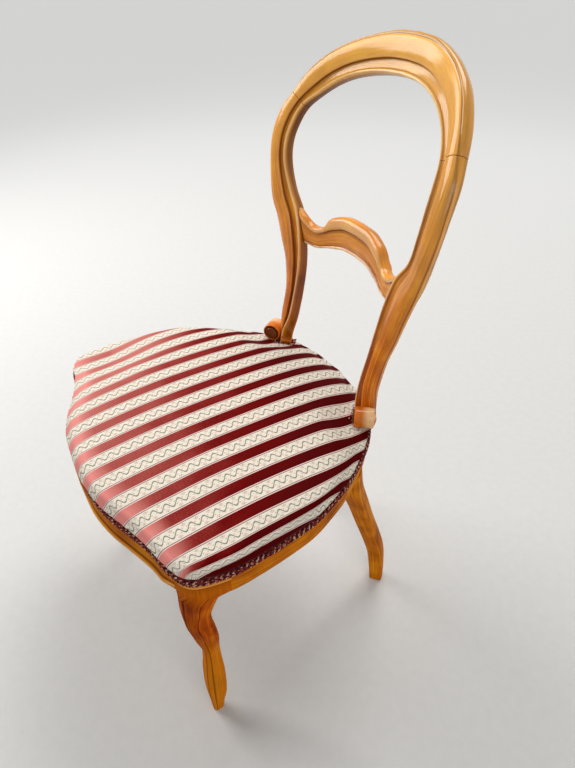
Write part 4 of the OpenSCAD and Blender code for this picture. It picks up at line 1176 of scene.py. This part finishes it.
def striped_cloth():
    material, tree, shader = blank("striped_cloth", Sheen_Weight=0.03, Sheen_Roughness=0.4, Roughness=0.75)
    shader.inputs["Sheen Tint"].default_value = (1.0, 0.6, 0.6, 1)
    shader.inputs["Specular IOR Level"].default_value = 0.02
    where = add(tree, "TexCoord")
    flat = add(tree, "SeparateXYZ", {"Vector": where.outputs["UV"]})
    u, v = flat.outputs[0], flat.outputs[1]
    straight = sums(tree, "MULTIPLY_ADD", v, SLANT, u)
    part = sums(tree, "FRACT", sums(tree, "DIVIDE", sums(tree, "ADD", straight, 10 * PERIOD + START), PERIOD))
    c = sums(tree, "MULTIPLY", sums(tree, "SUBTRACT", part, 0.5), PERIOD)
    side = sums(tree, "ABSOLUTE", c)
    cream = mask(tree, side, CREAM_HALF - 0.0002, CREAM_HALF + 0.0003)
    phase = sums(tree, "DIVIDE", v, WAVE_LENGTH)
    sine = sums(tree, "SINE", sums(tree, "MULTIPLY", phase, 2 * math.pi))
    off = sums(tree, "ABSOLUTE", sums(tree, "SUBTRACT", c, sums(tree, "MULTIPLY", sine, WAVE)))
    wave = mask(tree, off, 0.0007, 0.0016)
    line = mask(tree, sums(tree, "ABSOLUTE", sums(tree, "SUBTRACT", side, CREAM_HALF - 0.0019)), 0.0003, 0.0008)
    half_wave = sums(tree, "FRACT", sums(tree, "MULTIPLY", phase, 2))
    q = sums(tree, "MULTIPLY", sums(tree, "SUBTRACT", half_wave, 0.5), WAVE_LENGTH / 2)
    hollow = sums(tree, "MULTIPLY", sums(tree, "MULTIPLY", c, sums(tree, "SIGN", sine)), -1)
    reach = sums(tree, "ABSOLUTE", q)
    slope = sums(tree, "MULTIPLY", sums(tree, "SUBTRACT", hollow, 0.0040), 0.75)
    leaf = sums(tree, "ABSOLUTE", sums(tree, "SUBTRACT", reach, slope))
    tall = mask(tree, sums(tree, "ABSOLUTE", sums(tree, "SUBTRACT", hollow, 0.0062)), 0.0014, 0.0020)
    sprig = sums(tree, "MULTIPLY", mask(tree, leaf, 0.0003, 0.0009), tall)
    speck = mask(tree, distance(tree, reach, hollow, 0.0030, 0.0024), 0.0005, 0.0011)
    bloom = mask(tree, distance(tree, reach, hollow, 0.0, 0.0075), 0.0006, 0.0012)
    ground_noise = add(tree, "TexNoise", {"Vector": where.outputs["UV"], "Scale": 260, "Detail": 3})
    wide_noise = add(tree, "TexNoise", {"Vector": where.outputs["Object"], "Scale": 14, "Detail": 3})
    ground = mix(tree, ground_noise.outputs["Fac"], (0.66, 0.58, 0.48), (0.86, 0.80, 0.71))
    ground = mix(tree, sums(tree, "MULTIPLY", sprig, 0.75), ground, (0.56, 0.30, 0.20))
    ground = mix(tree, sums(tree, "MULTIPLY", bloom, 0.8), ground, (0.16, 0.22, 0.10))
    ground = mix(tree, sums(tree, "MULTIPLY", speck, 0.7), ground, (0.22, 0.24, 0.14))
    ground = mix(tree, sums(tree, "MULTIPLY", wave, 0.9), ground, (0.165, 0.175, 0.125))
    hem = mask(tree, sums(tree, "SUBTRACT", CREAM_HALF, side), 0.0008, 0.0016)
    ground = mix(tree, sums(tree, "MULTIPLY", hem, 0.5), ground, (0.84, 0.46, 0.46))
    ground = mix(tree, sums(tree, "MULTIPLY", line, 0.92), ground, (0.09, 0.03, 0.035))
    pile = add(tree, "TexNoise", {"Vector": where.outputs["UV"], "Scale": 420, "Detail": 2, "Roughness": 0.7})
    # Painted sheen: the plush grows paler where the surface faces forward and left, where the cloth turns down,
    # and towards the front and left of the seat.
    facing = add(tree, "SeparateXYZ", {"Vector": where.outputs["Normal"]})
    lean = sums(tree, "MULTIPLY", facing.outputs[1], -0.85)
    lean = sums(tree, "MULTIPLY_ADD", facing.outputs[0], -0.45, lean)
    turned = add(tree, "Attribute", attribute_name="turned").outputs["Fac"]
    lean = sums(tree, "MULTIPLY_ADD", turned, 0.38, lean)
    spot = add(tree, "SeparateXYZ", {"Vector": where.outputs["Object"]})
    lean = sums(tree, "MULTIPLY_ADD", spot.outputs[1], -0.5, lean)
    lean = sums(tree, "MULTIPLY_ADD", spot.outputs[0], -0.24, lean)
    for noise, amount in ((wide_noise, 0.18), (pile, 0.16)):
        uneven = sums(tree, "SUBTRACT", noise.outputs["Fac"], 0.5)
        lean = sums(tree, "MULTIPLY_ADD", uneven, amount, lean)
    sheen_ramp = add(tree, "ValToRGB", {"Fac": sums(tree, "ADD", sums(tree, "MULTIPLY", lean, 1.05), 0.2)})
    stops = sheen_ramp.color_ramp.elements
    stops[0].position, stops[0].color = 0.05, (0.075, 0.0006, 0.001, 1)
    stops[1].position, stops[1].color = 0.86, (0.72, 0.245, 0.22, 1)
    for place, tint in ((0.19, (0.13, 0.0015, 0.0015)), (0.27, (0.22, 0.018, 0.015)),
                        (0.36, (0.33, 0.062, 0.052)), (0.52, (0.48, 0.140, 0.12))):
        stops.new(place).color = (*tint, 1)
    plush = sheen_ramp.outputs["Color"]
    colour = mix(tree, cream, plush, ground)
    tree.links.new(colour, shader.inputs["Base Color"])
    rough = add(tree, "MapRange", {"Value": cream, 3: 0.62, 4: 0.86})
    tree.links.new(rough.outputs[0], shader.inputs["Roughness"])
    twill = add(tree, "TexWave",
                {"Vector": where.outputs["UV"], "Scale": 330, "Distortion": 1.5, "Detail": 1},
                bands_direction="DIAGONAL")
    low = sums(tree, "MULTIPLY", twill.outputs["Fac"], 0.18)
    high = sums(tree, "ADD", sums(tree, "MULTIPLY", pile.outputs["Fac"], 0.25), 0.75)
    height = sums(tree, "ADD", sums(tree, "MULTIPLY", cream, sums(tree, "SUBTRACT", low, high)), high)
    height = sums(tree, "ADD", height, sums(tree, "MULTIPLY", sums(tree, "MULTIPLY", wave, cream), 0.2))
    bump = add(tree, "Bump", {"Height": height, "Strength": 0.7, "Distance": 0.0011})
    tree.links.new(bump.outputs[0], shader.inputs["Normal"])
    return material


striped = striped_cloth()
seat.data.materials.append(striped)
seat.data.shade_smooth()
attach(seat, "root")
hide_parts("seat_cover", "stuffing_pad")
print("cover material has", len(striped.node_tree.nodes), "nodes")

# %% [markdown]
# The braid is a flat band with two twisted cords on it, in dark red with pale flecks. A cord is two
# strands that wind round each other, and each strand is a ring of points carried along the rim while it
# turns. One cord would look like a tube from afar, so the strands are real shapes.

# %% Braid
def braid_stuff(name, plain, fleck, amount):
    material, tree, shader = blank(name, Roughness=0.75, Specular_IOR_Level=0.15)
    where = add(tree, "TexCoord")
    spots = add(tree, "TexNoise", {"Vector": where.outputs["Object"], "Scale": 330, "Detail": 1})
    share = mask(tree, spots.outputs["Fac"], amount - 0.02, amount + 0.03)
    tree.links.new(mix(tree, share, plain, fleck), shader.inputs["Base Color"])
    close = add(tree, "Mapping", {"Vector": where.outputs["UV"], "Scale": (900, 500, 1)}).outputs[0]
    thread = add(tree, "TexWave", {"Vector": close, "Scale": 1, "Distortion": 1}, bands_direction="DIAGONAL")
    bump = add(tree, "Bump", {"Height": thread.outputs["Fac"], "Strength": 0.5, "Distance": 0.0004})
    tree.links.new(bump.outputs[0], shader.inputs["Normal"])
    return material


dark_cord = braid_stuff("dark_cord", (0.065, 0.004, 0.005), (0.26, 0.030, 0.026), 0.46)
fleck_cord = braid_stuff("flecked_cord", (0.23, 0.026, 0.022), (0.72, 0.46, 0.33), 0.45)
band_stuff = braid_stuff("braid_band", (0.07, 0.006, 0.009), (0.17, 0.03, 0.03), 0.45)


def strands(bm, path, outs, ups, radius, winding, pitch, closed):
    """Two strands that wind round a path. outs and ups are the directions across it."""
    lengths = [0.0]
    for a, b in zip(path, path[1:]):
        lengths.append(lengths[-1] + (b - a).length)
    turns = round(lengths[-1] / pitch) if closed else lengths[-1] / pitch
    for strand in (0, 1):
        first = len(bm.faces)
        rows = []
        for p, o, u, length in zip(path, outs, ups, lengths):
            a = 2 * math.pi * (turns * length / lengths[-1] + strand / 2)
            middle = p + (o * math.cos(a) + u * math.sin(a)) * winding
            rows.append([middle + (o * math.cos(b) + u * math.sin(b)) * radius
                         for b in (2 * math.pi * k / 6 for k in range(6))])
        rolled(bm, rows, capped=not closed)
        bm.faces.ensure_lookup_table()
        for face in bm.faces[first:]:
            face.material_index = strand


def rim_run(out, z, count):
    """Points once round the rim, and the directions outward there."""
    places = [rim(-BACK + 2 * BACK * k / count, out, z) for k in range(count)]
    places.append(places[0].copy())
    outs = []
    for k in range(count):
        along = (places[(k + 1) % count] - places[k - 1]).normalized()
        outs.append(Vector((along.y, -along.x, 0)))
    outs.append(outs[0].copy())
    return places, outs


HEM = RAIL_TOP - 0.002
braid = bmesh.new()
for out, z in ((0.0026, HEM - 0.0020), (0.0025, HEM - 0.0068)):
    path, outs = rim_run(out, z, 1150)
    strands(braid, path, outs, [Vector((0, 0, 1))] * len(path), 0.00132, 0.00105, 0.0078, True)
print("braid cords:", len(braid.faces), "faces")


def foot_run(gap, lift):
    """A path round the inner end of a post's foot, from rim to rim."""
    ring = foot_plan(gap, 0.02)
    corners = [ring[1], ring[0], ring[3], ring[2]]
    path = []
    for s in steps(0, 3, 180):
        i = min(int(s), 2)
        path.append(corners[i] + (corners[i + 1] - corners[i]) * (s - i))
    for turns in range(5):
        path = [path[0]] + [(a + b * 2 + c) / 4 for a, b, c in zip(path, path[1:], path[2:])] + [path[-1]]
    return [Vector((p.x, p.y, RAIL_TOP + lift)) for p in path]


def out_of_rim(p):
    """How far a point near a back corner lies outside the seat's plan."""
    q = Vector((abs(p.x), p.y))
    s = min(steps(BACK_JOINT, BACK - 1, 120), key=lambda s: (rim(s, 0, 0).xy - q).length)
    edge = rim(s, 0, 0).xy
    return (q - edge).dot((rim(s, 0.001, 0).xy - edge).normalized())


for side in (1, -1):
    for gap, lift in ((0.0022, 0.0085), (0.0066, 0.0100)):
        path = mirrored(foot_run(gap, lift), side)
        inside = [p for p in path if out_of_rim(p) < 0.0015]
        outs = []
        for k in range(len(inside)):
            along = (inside[min(k + 1, len(inside) - 1)] - inside[max(k - 1, 0)]).normalized()
            outs.append(Vector((along.y, -along.x, 0)) * side)
        strands(braid, inside, outs, [Vector((0, 0, 1))] * len(inside), 0.00145, 0.0011, 0.0085, False)
braid_piece = piece("braid_cords", braid, dark_cord, ["gimp_braid"], sharp=80)
braid_piece.data.materials.append(fleck_cord)

band = bmesh.new()
band_profile = [(0.0002, HEM + 0.0012), (0.0014, HEM + 0.0008), (0.0018, HEM - 0.001), (0.0018, HEM - 0.009),
                (0.0012, HEM - 0.0102), (0.0002, HEM - 0.0104)]
band_rows = [[rim(s, out, z) for out, z in band_profile] for s in steps(-BACK, BACK, 340)]
rolled(band, band_rows, capped=False)
piece("braid_band", band, band_stuff, ["gimp_braid"], sharp=60)

# %% [markdown]
# The joints' dowels, the corner blocks with their screws and the webbing's tacks are hidden or seen only
# from below. Their solids already have the right shape, so they get materials of their own. The steel and
# the jute are also for the next two steps.

# %% Pieces under the seat
def plain_wood(name, dark, pale):
    material, tree, shader = blank(name, Roughness=0.62)
    where = add(tree, "TexCoord")
    run = add(tree, "Mapping", {"Vector": where.outputs["Object"], "Scale": (60, 60, 500)}).outputs[0]
    grain = add(tree, "TexNoise", {"Vector": run, "Scale": 1, "Detail": 4})
    tree.links.new(mix(tree, grain.outputs["Fac"], dark, pale), shader.inputs["Base Color"])
    bump = add(tree, "Bump", {"Height": grain.outputs["Fac"], "Strength": 0.2, "Distance": 0.0005})
    tree.links.new(bump.outputs[0], shader.inputs["Normal"])
    return material


def steel(name, tint, rough):
    material, tree, shader = blank(name, Metallic=1.0)
    where = add(tree, "TexCoord")
    spots = add(tree, "TexNoise", {"Vector": where.outputs["Object"], "Scale": 240, "Detail": 4})
    dull = tuple(v * 0.55 for v in tint)
    tree.links.new(mix(tree, spots.outputs["Fac"], tint, dull), shader.inputs["Base Color"])
    spread = add(tree, "MapRange", {"Value": spots.outputs["Fac"], 3: rough - 0.1, 4: rough + 0.15})
    tree.links.new(spread.outputs[0], shader.inputs["Roughness"])
    return material


beech = plain_wood("dowel_beech", (0.42, 0.27, 0.13), (0.60, 0.43, 0.25))
block_stuff = plain_wood("block_pine", (0.38, 0.25, 0.11), (0.55, 0.38, 0.19))
screw_steel = steel("screw_steel", (0.42, 0.40, 0.38), 0.42)
spring_steel = steel("spring_steel", (0.55, 0.53, 0.50), 0.36)
jute = woven("jute_webbing", (0.27, 0.17, 0.08), (0.52, 0.38, 0.22), 0.0022)
finishes = {"rail_dowels": beech, "crest_dowels": beech, "splat_dowels": beech, "corner_blocks": block_stuff,
            "corner_block_screws": screw_steel, "webbing_tacks": screw_steel}
for node, material in finishes.items():
    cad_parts[node].data.materials.clear()
    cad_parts[node].data.materials.append(material)
print("materials given to", len(finishes), "nodes")

# %% [markdown]
# The straps of the webbing run from front to back and from side to side, and each cross strap passes over
# and under the others. A strap is a flat ring of points carried along its run, with a dark line near both
# edges, as jute webbing has. Its height over a crossing rises and falls smoothly.

# %% Webbing
WEB_HALF, WEB_T, WEB_MARGIN, WEB_RAMP = 0.025, 0.0016, 0.009, 0.008
HALF_STRAP = [(1, -0.3, 0), (0.98, -0.5, 0), (0.8, -0.5, 0), (0.79, -0.5, 1), (0.7, -0.5, 1), (0.69, -0.5, 0)]
ACROSS = [(-w, t, level) for w, t, level in HALF_STRAP] + [(0, -0.5, 0)] + HALF_STRAP[::-1]
STRAP_RING = ACROSS + [(w, -t, level) for w, t, level in reversed(ACROSS)]


def seek(which, value, low, high):
    """Where the seat's plan reaches an x (0) or a y (1), between two stations."""
    rising = plan(high)[which] > plan(low)[which]
    for turns in range(30):
        s = (low + high) / 2
        if (plan(s)[which] < value) == rising:
            low = s
        else:
            high = s
    return low


def strap(bm, path, wide):
    """A strap along points, with its width in the direction wide."""
    thin = WEB_T * 0.94
    ring = [wide * (w * WEB_HALF) + Vector((0, 0, t * thin)) for w, t, level in STRAP_RING]
    rolled(bm, [[p + q for q in ring] for p in path], [level for w, t, level in STRAP_RING])


lengthwise, crosswise = bmesh.new(), bmesh.new()
strap_z = RAIL_LOW - WEB_T / 2
for i in (-1, 0, 1):
    front = plan(seek(0, abs(i) * WEB_X, 0, LEG_FRONT)).y - SHIFT + WEB_MARGIN
    back = plan(seek(0, abs(i) * WEB_X + WEB_HALF, BACK_JOINT, BACK)).y - SHIFT - WEB_MARGIN
    strap(lengthwise, [Vector((i * WEB_X, y, strap_z)) for y in steps(front, back, 40)], Vector((1, 0, 0)))
for j in (-1, 0, 1):
    y = WEB_MID_Y + j * WEB_Y
    half = plan(seek(1, y + SHIFT + WEB_HALF, LEG_SIDE, BACK - 1)).x - WEB_MARGIN
    path = []
    for x in steps(-half, half, 160):
        lift = 0.0
        for i in (-1, 0, 1):
            over = 1 if (i + j) % 2 == 0 else -1
            lift += over * WEB_T * (1 - ease((abs(x - i * WEB_X) - WEB_HALF - 0.0005) / WEB_RAMP))
        path.append(Vector((x, y, strap_z + lift)))
    strap(crosswise, path, Vector((0, 1, 0)))
piece("webbing_straps_lengthwise", lengthwise, jute, ["webbing_lengthwise"], sharp=60)
piece("webbing_straps_crosswise", crosswise, jute, ["webbing_crosswise"], sharp=60)

# %% [markdown]
# A seat spring is a steel wire wound into a waist. The centre line is a helix whose radius is least in the
# middle, and a small ring of points is carried along it.

# %% Springs
SPRING_WIRE, SPRING_WAIST, SPRING_TURNS, CLOTH_GAP = 0.0034, 0.024, 4, 0.00025
SPRING_LOW = RAIL_LOW + WEB_T + CLOTH_GAP
SPRING_H, WIDEST = RAIL_TOP - CLOTH_GAP - SPRING_LOW, SPRING_R - SPRING_WIRE / 2
springs = bmesh.new()
for mid in spring_mids:
    rows = []
    for t in steps(0, 1, SPRING_TURNS * 28):
        turn = 2 * math.pi * SPRING_TURNS * t
        radius = WIDEST + (SPRING_WAIST - WIDEST) * (1 - (2 * t - 1) ** 2)
        away = Vector((math.cos(turn), math.sin(turn), 0))
        height = SPRING_LOW + SPRING_WIRE / 2 + t * (SPRING_H - SPRING_WIRE)
        centre = Vector((mid.x, mid.y, height)) + radius * away
        rows.append([centre + SPRING_WIRE / 2 * (away * math.cos(b) + Vector((0, 0, 1)) * math.sin(b))
                     for b in (2 * math.pi * k / 10 for k in range(10))])
    rolled(springs, rows)
piece("seat_springs_wound", springs, spring_steel, ["seat_springs"], sharp=60)

# %% [markdown]
# The floor is one large pale sheet that runs out of the picture. Far off it glows a little, for the camera
# and in reflections only, so it passes softly into the background.

# %% Floor
floor_stuff, tree, shader = blank("pale_floor", Roughness=0.9)
ground_place = add(tree, "TexCoord").outputs["Object"]
speckle = add(tree, "TexNoise", {"Vector": ground_place, "Scale": 60, "Detail": 4})
floor_tone = mix(tree, speckle.outputs["Fac"], (0.63, 0.63, 0.62), (0.69, 0.69, 0.68))
tree.links.new(floor_tone, shader.inputs["Base Color"])
away = add(tree, "VectorMath", {0: ground_place}, operation="LENGTH").outputs["Value"]
far_off = add(tree, "MapRange", {"Value": away, 1: 0.4, 2: 3.2, 3: 0.0, 4: 0.42},
              interpolation_type="SMOOTHSTEP")
ray = add(tree, "LightPath")
seen = sums(tree, "MAXIMUM", ray.outputs["Is Camera Ray"], ray.outputs["Is Glossy Ray"])
shader.inputs["Emission Color"].default_value = (1, 1, 0.99, 1)
tree.links.new(sums(tree, "MULTIPLY", seen, far_off.outputs[0]), shader.inputs["Emission Strength"])
ground = bmesh.new()
bmesh.ops.create_grid(ground, x_segments=1, y_segments=1, size=14)
floor_mesh = bpy.data.meshes.new("floor")
ground.to_mesh(floor_mesh)
ground.free()
floor_mesh.materials.append(floor_stuff)
floor = bpy.data.objects.new("floor", floor_mesh)
scene.collection.objects.link(floor)
